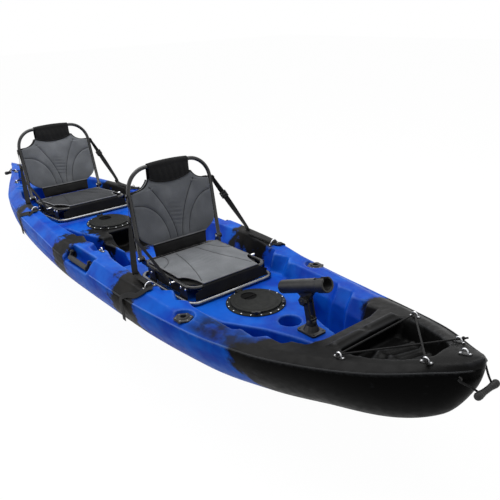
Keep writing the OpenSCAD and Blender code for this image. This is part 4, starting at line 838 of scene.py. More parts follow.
def bevelled_copy(node, width, finish):
    sharp = copy_of(node, node + "_sharp", finish)
    edge = sharp.modifiers.new("edge", "BEVEL")
    edge.limit_method = "ANGLE"
    edge.angle_limit = BEVEL_ANGLE
    edge.width = width
    edge.segments = 2
    edge.use_clamp_overlap = True
    made = bake(sharp, node + "_moulding", finish)
    discard(sharp)
    made.data.shade_smooth()
    made.data.set_sharp_from_angle(angle=MITRE)
    return made


BEVELS = {"hatch_screws": 0.0003, "pad_eyes": 0.0008, "pad_eye_screws": 0.0003, "handle_pins": 0.0006,
          "accessory_ports": 0.0010, "port_screws": 0.0003, "drain_plug": 0.0008, "rod_screws": 0.0003,
          "rod_base": 0.0012, "rod_knob": 0.0010}
for end in ("front", "rear"):
    for part in ("_hatch_ring", "_hatch_lid", "_latch_port", "_latch_starboard"):
        BEVELS[end + part] = 0.0008
    for part in ("_gussets", "_seat_bolts"):
        BEVELS[end + part] = 0.0005
FINISH_OF_NODE = {"rod_screws": black_steel, "handle_pins": black_steel, "port_screws": aluminium}
FINGER_BACK, FINGER_RADIUS, FINGER_RIM = 0.046, 0.0345, 0.040  # the lid's recess is off its middle
FINGER_DEPTHS = (0.0009, 0.006)
for node, width in BEVELS.items():
    made = bevelled_copy(node, width, FINISH_OF_NODE.get(node, FINISH_OF_SLOT[slot_of[node]]))
    stand_for(made, node)
    if node.endswith("_hatch_lid"):
        # The sunk faces of the lid's finger recess get the painted shade.
        made.data.materials.append(recess_painted_shade)
        recess = Vector((HATCH_X[node.startswith("rear")] - FINGER_BACK, 0, 0))
        reach = [(v.co - recess).xy.length for v in made.data.vertices]
        top = max(v.co.z for v in made.data.vertices if reach[v.index] < FINGER_RIM)
        for face in made.data.polygons:
            sunk = FINGER_DEPTHS[0] < top - face.center.z < FINGER_DEPTHS[1]
            face.material_index = int(sunk and max(reach[k] for k in face.vertices) < FINGER_RADIUS)
print("bevelled pieces:", len(BEVELS))

# %% [markdown]
# ## Round hard pieces
# Tubes, wire loops and the seals have no sharp edges to break. The frame's tubes show their flat facets in
# a reflection, so smooth shaded copies stand for them, and only edges sharper than a mitre stay sharp.

# %% Smooth copies of the tubes, loops and seals
ROUND_PIECES = ["pad_eye_loops"] + [end + part for end in ("front", "rear")
                                    for part in ("_hatch_seal", "_skid", "_seat_base", "_back_frame")]
for node in ROUND_PIECES:
    made = copy_of(node, node + "_smooth", FINISH_OF_SLOT[slot_of[node]])
    made.data.shade_smooth()
    made.data.set_sharp_from_angle(angle=MITRE)
    stand_for(made, node)
print("round pieces:", len(ROUND_PIECES))

# %% [markdown]
# ## The rod holder and the grips
# The holder's neck flows into its tube, and the grips are soft lumps of rubber. Copies of these solids are
# remeshed with fine voxels and smoothed, which melts the joints between their simple forms together.

# %% Melted copies of the moulded grips
def melted(node, voxel, rounds, finish):
    rough = copy_of(node, node + "_rough", finish)
    cells = rough.modifiers.new("cells", "REMESH")
    cells.mode = "VOXEL"
    cells.voxel_size = voxel
    soften = rough.modifiers.new("soften", "SMOOTH")
    soften.factor = 0.5
    soften.iterations = rounds
    made = bake(rough, node + "_moulding", finish)
    discard(rough)
    made.data.shade_smooth()
    stand_for(made, node)
    return made


ROD_VOXEL, GRIP_VOXEL = 0.0016, 0.0014
GRIP_ROUNDS = 3
RIB_PITCH, RIB_SHARE, RIBBED_HALF = 0.0095, 0.06, 0.048
melted("rod_tube", ROD_VOXEL, 5, black_plastic)
melted("rod_swivel", ROD_VOXEL, 4, black_plastic)
for node in ("bow_toggle", "stern_toggle"):
    grip = melted(node, GRIP_VOXEL, GRIP_ROUNDS, grip_rubber)
    place = points_of(grip)
    middle = place[:, [0, 2]].mean(0)
    off = place[:, [0, 2]] - middle
    waves = np.cos(place[:, 1] * 2 * math.pi / RIB_PITCH) * (np.abs(place[:, 1]) < RIBBED_HALF)
    place[:, [0, 2]] = middle + off * (1 + RIB_SHARE * waves)[:, None]
    set_points(grip, place)
for node in ("port_handle", "starboard_handle"):
    melted(node, GRIP_VOXEL, GRIP_ROUNDS, grip_rubber)
print("melted pieces: 6")

# %% [markdown]
# ## Cloth, webbing and cord finishes
# The seats are a grey plain weave with black panels, the straps ribbed webbing and the cords a braided
# cover. A weave is two crossing sets of waves. It follows the UV that each sheet and strap is given in
# metres, so the threads have the same size everywhere and turn with the cloth.

# %% Woven finishes
def woven(name, colour, light, thread, roughness, ribs=0.0, sheen=0.06):
    finish = Finish(name, Specular_IOR_Level=0.2, Sheen_Weight=sheen, Sheen_Roughness=0.5)
    cloth = finish.add("ShaderNodeUVMap")
    waves = [finish.add("ShaderNodeTexWave", Vector=cloth, Scale=0.157 / thread, Distortion=0.6, Detail=1.0,
                        settings={"bands_direction": way}) for way in ("X", "Y")]
    threads = finish.math("MULTIPLY", waves[0], waves[1])
    if ribs:
        rib = finish.add("ShaderNodeTexWave", Vector=cloth, Scale=0.157 / ribs, Distortion=0.2,
                         settings={"bands_direction": "Y"})
        threads = finish.math("ADD", finish.math("MULTIPLY", threads, 0.4), finish.math("MULTIPLY", rib, 0.6))
    wear_and_highlight = finish.fade(finish.noise(11.0, 4.0), 0.35, 0.75)
    shade = finish.math("ADD", finish.math("MULTIPLY", wear_and_highlight, 0.55), finish.math("MULTIPLY", threads, 0.45))
    finish.set(Base_Color=finish.blend(shade, colour, light))
    finish.set(Roughness=finish.fade(threads, 0.0, 1.0, roughness, roughness - 0.12))
    finish.bump(threads, 0.45, 0.0006)
    return finish.material


grey_weave = woven("grey_weave", rgb(104, 107, 111), rgb(136, 139, 143), 0.0010, 0.86, sheen=0.2)
# A darker copy of the grey weave: painted shade for the rear seat pad.
grey_weave_painted_shade = woven("grey_weave_painted_shade", rgb(42, 44, 47), rgb(60, 62, 66), 0.0010, 0.84)
black_weave = woven("black_weave", rgb(12, 12, 13), rgb(30, 30, 31), 0.0010, 0.84)
ribbed_webbing = woven("ribbed_webbing", rgb(9, 9, 10), rgb(26, 26, 27), 0.0009, 0.80, ribs=0.0022)
braid = woven("braided_cover", rgb(9, 9, 10), rgb(26, 26, 27), 0.0011, 0.78)
# Pale tape for the backrest's foot line. On the seat piping, its pale colour is partly a painted highlight.
pale_tape_and_highlight = woven("pale_tape_and_highlight", rgb(120, 121, 124), rgb(150, 151, 154), 0.0007, 0.80)
print("woven finishes: 6")

# %% [markdown]
# ## Shock cords
# A shock cord crosses each end well: from an eye near the tip back to the far shoulder, straight across,
# and forward again to the other eye, so that it makes a bow tie. Each end is stopped by an overhand knot.
# The route runs through the middles of the eyes. The tube is swept along it, and each knot is a small
# trefoil, which is what an overhand knot is.

# %% Cords through the pad eyes
EYE_MIDDLE = 0.009
CORD_RADIUS = 0.003
KNOT_SIZE, KNOT_CORD = 0.0036, 0.0026  # the cord is drawn thinner in the tight knot


def deck_normal(x, y):
    step = 0.006
    slope_x = (deck_height(x + step, y) - deck_height(x - step, y)) / (2 * step)
    slope_y = (deck_height(x, y + step) - deck_height(x, y - step)) / (2 * step)
    return Vector((-slope_x, -slope_y, 1)).normalized()


def over_deck(x, y, up):
    return Vector((x, y, deck_height(x, y))) + deck_normal(x, y) * up


def knot(name, middle, heading, finish):
    turn = heading.to_track_quat("Z", "Y").to_matrix()
    loop = []
    for a in np.linspace(0, 2 * math.pi, 48, endpoint=False):
        flat_knot = Vector((math.sin(a) + 2 * math.sin(2 * a), math.cos(a) - 2 * math.cos(2 * a),
                            -1.4 * math.sin(3 * a)))
        loop.append(middle + turn @ (flat_knot * KNOT_SIZE / 2.4))
    return swept(name, tube_rings(loop + loop[:1], KNOT_CORD, 10), finish)


def route_length(route):
    return sum((Vector(b) - Vector(a)).length for a, b in zip(route[:-1], route[1:]))


def shock_cord(end, shoulder, tip):
    """The laced cord of one end well, with its two knots."""
    eyes = [over_deck(tip[0], -tip[1], EYE_MIDDLE), over_deck(*shoulder, EYE_MIDDLE),
            over_deck(shoulder[0], -shoulder[1], EYE_MIDDLE), over_deck(*tip, EYE_MIDDLE)]
    toward = [(b - a).normalized() for a, b in zip(eyes[:-1], eyes[1:])]
    ends = [eyes[0] - toward[0] * 0.012, eyes[3] + toward[2] * 0.012]
    route = [ends[0], eyes[0]]
    for k in (1, 2):
        outward = (toward[k - 1] - toward[k]).normalized()
        route += [eyes[k] - toward[k - 1] * 0.02, eyes[k] - toward[k - 1] * 0.004 + outward * 0.001,
                  eyes[k] + toward[k] * 0.004 + outward * 0.001, eyes[k] + toward[k] * 0.02]
    route += [eyes[3], ends[1]]
    line = rounded(route, 6)
    laced = swept(end + "_shock_cord", tube_rings(line, CORD_RADIUS, 12), braid)
    knots = [knot(end + "_knot_" + word, at + way * 0.002, way, braid)
             for word, at, way in (("starboard", ends[0], -toward[0]), ("port", ends[1], toward[2]))]
    for tied in knots:
        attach(tied, "hull")
    stand_for(laced, end + "_bungee")
    print(end, "shock cord:", round(route_length(line), 3), "m")


shock_cord("bow", (1.485, 0.190), (1.718, 0.082))
shock_cord("stern", (-1.290, 0.168), (-1.545, 0.076))

# %% [markdown]
# ## Toggle cords
# A carrying toggle hangs at each tip on a loop of cord that goes through a hole in the hull. A rubber
# grommet lines the hole on each side.

# %% Loops and grommets
LOOP_RADIUS = 0.0032
GROMMET = ((0.0036, 0.0), (0.0046, 0.0024), (0.0066, 0.0030), (0.0086, 0.0018), (0.0092, -0.0010),
           (0.0070, -0.0016))  # radius and how far out, from the lip round to the back


def toggle_loop(end, hole, grip, reach, leg):
    """The cord from the grip through the hole and back. Reach is the hole's half length, leg the grip's."""
    swing = Vector((grip[0] - hole[0], 0, grip[1] - hole[1]))
    down = swing.normalized()
    fall = swing.length - 0.009
    outer = [(leg, fall), (leg + 0.35 * (reach - leg), 0.62 * fall), (reach - 0.002, 0.008),
             (reach - 0.002, 0.002), (reach - 0.008, 0.0), (0.5 * reach, 0.0)]
    flat_route = outer + [(0.0, 0.0)] + [(-y, d) for y, d in outer[::-1]]
    line = rounded([Vector((hole[0], y, hole[1])) + down * d for y, d in flat_route], 7)
    loop = swept(end + "_toggle_loop", tube_rings(line, LOOP_RADIUS, 12), braid)
    stand_for(loop, end + "_toggle_cord")
    circle = [(math.cos(a), math.sin(a)) for a in np.linspace(0, 2 * math.pi, 28, endpoint=False)]
    for side, word in SIDES:
        rings = [[(hole[0] + radius * c, side * (reach - 0.006 + out), hole[1] + radius * s)
                  for c, s in circle] for radius, out in GROMMET]
        grommet = swept(end + "_grommet_" + word, rings, grip_rubber)
        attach(grommet, "hull")
    print(end, "toggle loop:", round(route_length(line), 3), "m")


toggle_loop("bow", (1.812, 0.440), (1.865, 0.403), gunwale(1.812)[0] + 0.004, 0.034)
toggle_loop("stern", (-1.808, 0.368), (-1.865, 0.335), 0.030, 0.034)

# %% [markdown]
# ## Quilted pads
# A backrest or seat pad is foam between two cloths, sewn through along curved seams, and the foam swells
# between the seams. A sculpted surface could copy that, but a short cloth simulation gives it naturally:
# the points on the seams and round the rim are pinned, air pressure lifts the rest, and the lift is capped.

# %% Pads from two grids of points
def lengths_on(grid):
    """Lengths across and along a grid of points, in metres, for its UV."""
    rows, columns = grid.shape[:2]
    u = np.cumsum(np.linalg.norm(np.diff(grid, axis=1), axis=2), axis=1)
    v = np.cumsum(np.linalg.norm(np.diff(grid, axis=0), axis=2), axis=0)
    u = np.concatenate([np.zeros((rows, 1)), u], axis=1)
    v = np.concatenate([np.zeros((1, columns)), v], axis=0)
    return np.stack([u - u.mean(1, keepdims=True), v], axis=-1).reshape(-1, 2)


def grid_faces(rows, columns):
    return [(j * columns + i, j * columns + i + 1, (j + 1) * columns + i + 1, (j + 1) * columns + i)
            for j in range(rows - 1) for i in range(columns - 1)]


def lay_cloth(made, grid):
    """Gives every corner the place of its point on the flat cloth."""
    flat_uv = lengths_on(grid)
    layer = made.data.uv_layers.new(name="cloth")
    for corner in made.data.loops:
        layer.data[corner.index].uv = flat_uv[corner.vertex_index % len(flat_uv)]


def grid_pad(name, front, back, finish):
    """A closed pad from two grids of points, front and back."""
    rows, columns = front.shape[:2]
    count = rows * columns
    faces = []
    for a, b, c, d in grid_faces(rows, columns):
        faces += [(a, b, c, d), (count + a, count + d, count + c, count + b)]
    rim = ([(0, i) for i in range(columns)] + [(j, columns - 1) for j in range(1, rows)]
           + [(rows - 1, i) for i in range(columns - 2, -1, -1)] + [(j, 0) for j in range(rows - 2, 0, -1)])
    rim = [j * columns + i for j, i in rim]
    for a, b in zip(rim, rim[1:] + rim[:1]):
        faces.append((b, a, count + a, count + b))
    made = new_object(name, np.concatenate([front.reshape(-1, 3), back.reshape(-1, 3)]), faces, finish)
    lay_cloth(made, front)
    return made


def shares(rows, columns):
    """Two grids of shares: from -1 to 1 across the columns, and from 0 to 1 up the rows."""
    across = np.linspace(-1, 1, columns)[None, :] * np.ones((rows, 1))
    up = np.linspace(0, 1, rows)[:, None] * np.ones((1, columns))
    return across, up


# %% Foam that swells between seams
SWELL_PRESSURE, SWELL_FRAMES = 6.0, 16
CREASED_AT, WRINKLE = 0.150, 0.0009


def swell(pad, loose, cap):
    """Lets pressure lift the loose points of a pad, by no more than the cap."""
    start = points_of(pad)
    held = pad.vertex_groups.new(name="held")
    held.add([int(k) for k in np.flatnonzero(~loose)], 1.0, "REPLACE")
    cloth = pad.modifiers.new("swell", "CLOTH")
    cloth.settings.vertex_group_mass = "held"
    cloth.settings.use_pressure = True
    cloth.settings.uniform_pressure_force = SWELL_PRESSURE
    cloth.settings.mass = 0.25
    cloth.settings.tension_stiffness = 12
    cloth.settings.compression_stiffness = 12
    cloth.settings.bending_stiffness = 0.4
    cloth.settings.effector_weights.gravity = 0.0
    cloth.collision_settings.use_collision = False
    for number in range(1, SWELL_FRAMES + 1):
        scene.frame_set(number)
    lifted = points_of(pad.evaluated_get(bpy.context.evaluated_depsgraph_get()))
    pad.modifiers.remove(cloth)
    scene.frame_set(1)
    move = np.nan_to_num(lifted - start)
    size = np.linalg.norm(move, axis=1, keepdims=True)
    set_points(pad, start + move / np.maximum(size, 1e-9) * cap * np.tanh(size / cap))
    print(pad.name, "lifted up to", round(float(size.max()) * 1000, 1), "mm before the cap")


def distance_to(seams, points):
    """Distance of flat points from the nearest of some seam lines."""
    best = np.full(len(points), 9.0)
    for seam in seams:
        for a, b in zip(seam[:-1], seam[1:]):
            run = b - a
            share = np.clip(((points - a) @ run) / (run @ run), 0, 1)
            best = np.minimum(best, np.linalg.norm(points - a - share[:, None] * run, axis=1))
    return best


def mirrored(lines):
    return lines + [line * np.array([-1, 1]) for line in lines]


def quilt(pad, flat_grid, share_grid, seams, out, room, cap, seam, strip, crease, wrinkle):
    """Swells a pad's front between its seams, then presses in the seams, creases and slight wrinkles.

    Room is the pinned half width of a seam, and seam its depth and width. Strip is the half width and height
    of the creased middle. Crease is the height and pitch of the creases, and how much and how often they
    waver. Wrinkle has two wave numbers, across and along.
    """
    across, along_pad = (side.ravel() for side in flat_grid)
    side_share, up_share = (side.ravel() for side in share_grid)
    count = len(across)
    seam_gap = distance_to(seams, np.column_stack([across, along_pad]))
    loose = np.zeros(2 * count, bool)
    loose[:count] = (seam_gap > room) & (np.abs(side_share) < 0.985) & (up_share > 0.012) & (up_share < 0.988)
    swell(pad, loose, cap)
    place = points_of(pad)
    between = np.clip(1 - np.abs(across) / strip[0], 0, 1) * bell(along_pad - CREASED_AT, strip[1])
    creases = np.sin(along_pad * 2 * np.pi / crease[1] + crease[2] * np.sin(across * crease[3]))
    press = crease[0] * between * creases - seam[0] * bell(seam_gap, seam[1])
    wrinkles = WRINKLE * np.sin(across * wrinkle[0]) * np.sin(along_pad * wrinkle[1])
    place[:count] += (press + wrinkles * loose[:count])[:, None] * np.array(out)
    set_points(pad, place)


def finished_pad(pad, name, finish):
    """One subdivision, applied, with smooth shading."""
    smooth = pad.modifiers.new("smooth", "SUBSURF")
    smooth.levels = smooth.render_levels = 1
    done = bake(pad, name, finish)
    discard(pad)
    done.data.shade_smooth()
    return done


def for_both_seats(name, made):
    """The front seat's piece and its twin for the rear seat."""
    twin = bpy.data.objects.new("rear_" + name, made.data.copy())
    twin.data.name = twin.name
    twin.data.transform(TO_REAR_SEAT)
    scene.collection.objects.link(twin)
    made.name = "front_" + name
    return {"front": made, "rear": twin}


# %% [markdown]
# ## The backrest pad
# The pad fills its frame up to a curved line below the top tube. Two pairs of seams fan out from its foot,
# and short creases cross the strip between the inner pair. Its edges follow the two hand holds at the
# upper corners, where it is thicker.

# %% Shape and seams of the backrest pad
TO_REAR_SEAT = (Matrix.Translation((RAMP_X, 0, RAMP_TOP)) @ Matrix.Rotation(-REAR_TILT, 4, "Y")
                @ Matrix.Translation((-0.740, 0, -FLOOR_Z)))
PIVOT = Vector((0.340, 0, 0.391))
LEAN = math.radians(10)
SEAT_HALF = 0.2155
TUBE = 0.009
BACK_LENGTH = 0.390
PAD_HALF = SEAT_HALF - TUBE - 0.0004
PAD_FOOT = 0.0462
WINDOW = (0.104, 0.100)  # across and up
FOOT_IN = 0.062
HEAD_DROP = 0.080
HEAD_RISE = 0.026
HEAD_HALF = 0.104


def back_point(forward, across, height):
    """Points of the front backrest, given in its own leaned frame."""
    x = PIVOT.x + forward * math.cos(LEAN) - height * math.sin(LEAN)
    z = PIVOT.z + forward * math.sin(LEAN) + height * math.cos(LEAN)
    return np.stack(np.broadcast_arrays(x, across, z), axis=-1)


def pad_half(v):
    drawn_in = PAD_HALF + 0.0012 - 0.001 * np.sin(np.pi * np.clip((v - PAD_FOOT) / 0.26, 0, 1))
    foot = FOOT_IN * np.clip(1 - (v - PAD_FOOT) / 0.060, 0, 1) ** 2
    notch = WINDOW[0] * (1 - np.clip((BACK_LENGTH - v) / WINDOW[1], 0, 1) ** 2.6) ** (1 / 2.6)
    return drawn_in - foot - notch


def head_line(s):
    return BACK_LENGTH - HEAD_DROP + HEAD_RISE * s**2


BACK_OUT = (math.cos(LEAN), 0, math.sin(LEAN))
BACK_ROWS, BACK_COLUMNS = 52, 76
t = np.linspace(0, 1, 25)
quarter = t * np.pi / 2
BACK_SEAMS = mirrored([
    np.column_stack([0.014 + 0.104 * t**1.8, PAD_FOOT + 0.258 * t]),
    np.column_stack([0.053 + 0.147 * (1 - np.cos(quarter)), PAD_FOOT + 0.187 * np.sin(quarter)])])
side_share, up_share = shares(BACK_ROWS, BACK_COLUMNS)
pad_v = PAD_FOOT + (head_line(side_share) - PAD_FOOT) * up_share
pad_y = pad_half(pad_v) * side_share
rim = (1 - np.abs(side_share) ** 6) * (1 - np.abs(2 * up_share - 1) ** 10)
beside_hold = np.clip((pad_v - 0.268) / 0.026, 0, 1) ** 2
back_cushion = grid_pad("back_cushion", back_point(0.005 + 0.006 * rim, pad_y, pad_v),
                        back_point(-0.005 - 0.013 * beside_hold, pad_y, pad_v), grey_weave)
quilt(back_cushion, (pad_y, pad_v), (side_share, up_share), BACK_SEAMS, BACK_OUT, room=0.0045, cap=0.010,
      seam=(0.0038, 0.0034), strip=(0.060, 0.050), crease=(0.0016, 0.019, 1.6, 38), wrinkle=(61, 47))
back_cushion = finished_pad(back_cushion, "back_cushion_cloth", grey_weave)
for end, made in for_both_seats("back_cushion", back_cushion).items():
    stand_for(made, end + "_back_pad")
print("backrest pad points:", len(back_cushion.data.vertices))

# %% [markdown]
# ## The head panel
# A black cloth sleeve closes the pad at the top: it starts at the curved line, goes up, round the top tube
# and down the back to a hem. It is one sheet, so its shape is a path across the tube, repeated along it.

# %% Sleeve over the top tube
SLEEVE = TUBE + 0.0040
SLEEVE_START, SLEEVE_BULGE, SLEEVE_CROWN = 0.0075, 0.0042, 0.005
HEM_DOWN, HEM_OUT = 0.062, 0.010
s_across = np.linspace(-1, 1, 56)
even = np.ones_like(s_across)
path_rows = []
for q in np.linspace(0, 1, 14):
    v = head_line(s_across) + (BACK_LENGTH - head_line(s_across)) * q
    bulge = SLEEVE_BULGE * math.sin(math.pi * min(1, q * 1.15)) * (1 - s_across**6)
    path_rows.append((SLEEVE_START + (SLEEVE - SLEEVE_START) * q**2 + bulge, v))
for a in np.linspace(0, math.pi, 13)[1:]:
    over = SLEEVE + SLEEVE_CROWN * (1 - s_across**2)
    path_rows.append((SLEEVE * math.cos(a) * even, BACK_LENGTH + over * math.sin(a)))
for q in np.linspace(0, 1, 7)[1:]:
    path_rows.append(((-SLEEVE - HEM_OUT * q) * even, (BACK_LENGTH - HEM_DOWN * q) * even))
sleeve_grid = []
for lift, v in path_rows:
    half_here = np.minimum(HEAD_HALF, pad_half(np.minimum(v, BACK_LENGTH - 0.0095)) + 0.0006)
    ripple = 0.0006 * np.sin(s_across * 23 + v * 40)
    sleeve_grid.append(back_point(lift + ripple * (np.abs(v - BACK_LENGTH) > 0.012), s_across * half_here, v))
sleeve_grid = np.array(sleeve_grid)


def sheet_from(name, grid, finish, thickness):
    """A sheet with a small thickness and UV in metres."""
    thin = new_object(name + "_thin", grid.reshape(-1, 3), grid_faces(*grid.shape[:2]), finish)
    lay_cloth(thin, grid)
    wall = thin.modifiers.new("wall", "SOLIDIFY")
    wall.thickness = thickness
    wall.offset = 1.0
    smooth = thin.modifiers.new("smooth", "SUBSURF")
    smooth.levels = smooth.render_levels = 1
    made = bake(thin, name, finish)
    discard(thin)
    made.data.shade_smooth()
    return made


CLOTH_THICKNESS = 0.0009
sleeve = sheet_from("head_sleeve", sleeve_grid, black_weave, CLOTH_THICKNESS)
for end, made in for_both_seats("head_sleeve", sleeve).items():
    stand_for(made, end + "_head_panel")

# %% [markdown]
# ## Seams, bindings and the lumbar panel
# A thread lies at the bottom of each seam, a rolled black tape binds the pad along its hand holds and its
# head line, and a pale tape covers the line above the black lumbar panel. The threads' routes are drawn flat
# and dropped onto the finished pad with ray casts, so they follow every swelling.

# %% Routes dropped on a pad
THREAD_RADIUS, THREAD_LIFT = 0.0011, 0.0003
dark_thread = woven("dark_thread", rgb(34, 34, 36), rgb(56, 56, 58), 0.0006, 0.80)


def surface_of(made):
    return BVHTree.FromPolygons([tuple(v.co) for v in made.data.vertices],
                                [list(p.vertices) for p in made.data.polygons])

def dropped(surface, starts, heading, lift):
    """Where rays from the starts meet a surface, a little above it."""
    heading = Vector(heading).normalized()
    spots = [surface.ray_cast(Vector(start), heading)[0] for start in starts]
    return [spot - heading * lift for spot in spots if spot is not None]


def merged(name, pieces, finish):
    """One mesh from several pieces with the same finish."""
    work = bmesh.new()
    for piece in pieces:
        work.from_mesh(piece.data)
    mesh = bpy.data.meshes.new(name)
    work.to_mesh(mesh)
    work.free()
    discard(*pieces)
    made = bpy.data.objects.new(name, mesh)
    scene.collection.objects.link(made)
    mesh.materials.append(finish)
    mesh.shade_smooth()
    return made


def seat_trim(name, made, backrest):
    """A trim piece and its twin, riding on the backrests or on the hull."""
    for end, piece in for_both_seats(name, made).items():
        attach(piece, end + "_backrest" if backrest else "hull")


def seam_threads(name, surface, seam_starts, heading, backrest):
    """Threads that lie in the seams of a pad, as one piece for each seat."""
    threads = []
    for number, starts in enumerate(seam_starts):
        route = rounded(dropped(surface, starts, heading, THREAD_LIFT), 3)
        threads.append(swept("thread_%d" % number, tube_rings(route, THREAD_RADIUS, 6), dark_thread))
    seat_trim(name, merged(name, threads, dark_thread), backrest)


# %% Threads, bindings, tape and lumbar panel
BEFORE_BACK = 0.09  # rays start this far in front of the pad
back_starts = [back_point(BEFORE_BACK, seam[:, 0], seam[:, 1]) for seam in BACK_SEAMS]
seam_threads("back_thread", surface_of(back_cushion), back_starts, -Vector(BACK_OUT), True)

HOLD_BINDING, LINE_BINDING, TAPE = 0.0038, 0.0034, 0.0026  # radius of each rolled edge
bindings = []
edge_v = np.linspace(0.2875, head_line(1.0) - 0.002, 40)
for side in (1, -1):
    for word, forward in (("front", 0.003), ("back", -0.0165)):
        route = rounded(back_point(forward, side * (pad_half(edge_v) - 0.0005), edge_v), 2)
        bindings.append(swept("binding_" + word, tube_rings(route, HOLD_BINDING, 10), black_weave))
line_s = np.linspace(-0.97, 0.97, 40)
line_v = head_line(line_s) + 0.001
route = back_point(0.0075, line_s * pad_half(line_v), line_v)
bindings.append(swept("binding_line", tube_rings(rounded(route, 2), LINE_BINDING, 10), black_weave))
seat_trim("back_binding", merged("back_binding", bindings, black_weave), True)

foot_y = np.linspace(-1, 1, 50) * (pad_half(np.array(PAD_FOOT)) - 0.001)
route = back_point(0.0055 + 0.003 * (1 - (foot_y / 0.168) ** 6), foot_y, PAD_FOOT + 0.001)
foot_tape = swept("foot_tape", tube_rings(rounded(route, 2), TAPE, 10), pale_tape_and_highlight)
seat_trim("foot_tape", foot_tape, True)

LUMBAR_FOOT, LUMBAR_HEIGHT = -0.012, 0.0577
side_share, up_share = shares(12, 64)
lumbar_v = LUMBAR_FOOT + LUMBAR_HEIGHT * up_share
lumbar_y = (PAD_HALF - FOOT_IN - 0.006 * (1 - up_share)) * side_share
rim = (1 - side_share**8) * (1 - (2 * up_share - 1) ** 4)
tucks = 0.0010 * np.sin(lumbar_y * 74 + 1.2 * np.sin(lumbar_v * 90)) * rim
lumbar = grid_pad("lumbar", back_point(0.004 + 0.009 * rim + tucks, lumbar_y, lumbar_v),
                  back_point(-0.004, lumbar_y, lumbar_v), black_weave)
lumbar = finished_pad(lumbar, "lumbar_cloth", black_weave)
for end, made in for_both_seats("lumbar_roll", lumbar).items():
    stand_for(made, end + "_lumbar")
print("seam threads per backrest:", len(BACK_SEAMS))

# %% [markdown]
# ## The seat pad
# The seat pad lies on the frame. Two scoops cut back its front corners, where the tube shows. It is made like
# the backrest pad: pinned seams, a short swell, then pressed seams, threads and a rolled edge.

# %% Seat pad with scooped front corners
SEAT_X = 0.729
BASE_Z = FLOOR_Z + 0.064
BASE_HALF = 0.196
PAD_BACK, PAD_RUN = 0.371, 0.353  # the pad's rear edge behind the seat's front, and its length
SCOOP = (0.046, 0.115)  # across and along
SEAT_ROWS, SEAT_COLUMNS = 58, 66


def seat_half(t):
    scoop = SCOOP[0] * np.sqrt(np.maximum(0, 1 - ((1 - t) * PAD_RUN / SCOOP[1]) ** 2))
    return BASE_HALF - 0.008 - scoop - 0.004 * np.sin(np.pi * np.minimum(1, t / 0.7))


def seat_point(t, y, up):
    return np.stack(np.broadcast_arrays(SEAT_X - PAD_BACK + t * PAD_RUN, y, BASE_Z + up), axis=-1)


side_share, up_share = shares(SEAT_ROWS, SEAT_COLUMNS)
side_share = -side_share
run_share = 1 - (1 - up_share) ** 1.35  # rows lie closer together toward the scoops
cushion_y = seat_half(run_share) * side_share
rim = (1 - np.abs(side_share) ** 8) * (1 - np.abs(2 * run_share - 1) ** 14)
u = np.linspace(0, 1, 25)
quarter = u * np.pi / 2
SEAT_SEAMS = mirrored([
    np.column_stack([0.055 + 0.090 * (0.93 * u) ** 1.5, 0.93 * PAD_RUN * u]),
    np.column_stack([0.115 + 0.068 * (1 - np.cos(quarter)), 0.110 * np.sin(quarter)])])
cushion = grid_pad("seat_cushion", seat_point(run_share, cushion_y, 0.0128 + 0.008 * rim + 0.003 * run_share),
                   seat_point(run_share, cushion_y, 0.0096), grey_weave)
quilt(cushion, (cushion_y, run_share * PAD_RUN), (side_share, run_share), SEAT_SEAMS, (0, 0, 1),
      room=0.0048, cap=0.009, seam=(0.0040, 0.0036), strip=(0.085, 0.090),
      crease=(0.0010, 0.027, 1.4, 30), wrinkle=(57, 43))
cushion = finished_pad(cushion, "seat_cushion_cloth", grey_weave)
seat_surface = surface_of(cushion)
for end, made in for_both_seats("seat_cushion", cushion).items():
    stand_for(made, end + "_seat_pad")
    if end == "rear":
        # The rear seat pad takes the darker copy of the grey weave, as painted shade.
        made.data.materials[0] = grey_weave_painted_shade
print("seat pad points:", len(cushion.data.vertices))

# %% Threads and piping of the seat pad
ABOVE_SEAT = 0.08  # rays start this far above the frame
PIPING = 0.0030
seat_starts = [seat_point(seam[:, 1] / PAD_RUN, seam[:, 0], ABOVE_SEAT) for seam in SEAT_SEAMS]
seam_threads("seat_thread", seat_surface, seat_starts, (0, 0, -1), False)
outline = np.concatenate([[(t, seat_half(t)) for t in run_share[:, 0]],
                          [(1.0, y) for y in np.linspace(seat_half(1.0), -seat_half(1.0), 30)[1:-1]],
                          [(t, -seat_half(t)) for t in run_share[::-1, 0]],
                          [(0.0, y) for y in np.linspace(-seat_half(0.0), seat_half(0.0), 30)[1:]]])
route = seat_point(outline[:, 0], outline[:, 1], 0.0122 + 0.002 * outline[:, 0])
# The piping is a rolled edge, and its pale colour is partly a painted highlight along the pad's rim.
seat_trim("seat_piping", swept("seat_piping", tube_rings(route, PIPING, 10), pale_tape_and_highlight), False)
print("piping:", round(route_length(route), 3), "m")

# %% [markdown]
# ## The sling and its painted shade skirts
# Under the pad a black sling spans the frame. It narrows where the scoops bare the tube, goes over the front
# bar and hangs down in front as a wide apron. A short black skirt under each side tube is painted shade.

# %% Sling and apron
FRONT_BAR = SEAT_X - 0.022
REAR_BAR = SEAT_X - 0.405
CORNER = 0.037  # the frame's rear corners
WRAP = 0.0102  # from the middle of the front bar to the cloth over it
SAG = 0.004
NARROW_HALF = BASE_HALF - 0.0465  # between the scoops
APRON_DROP, APRON_FLARE = 0.050, 0.0405


def eased(share):
    share = np.clip(share, 0, 1)
    return share * share * (3 - 2 * share)


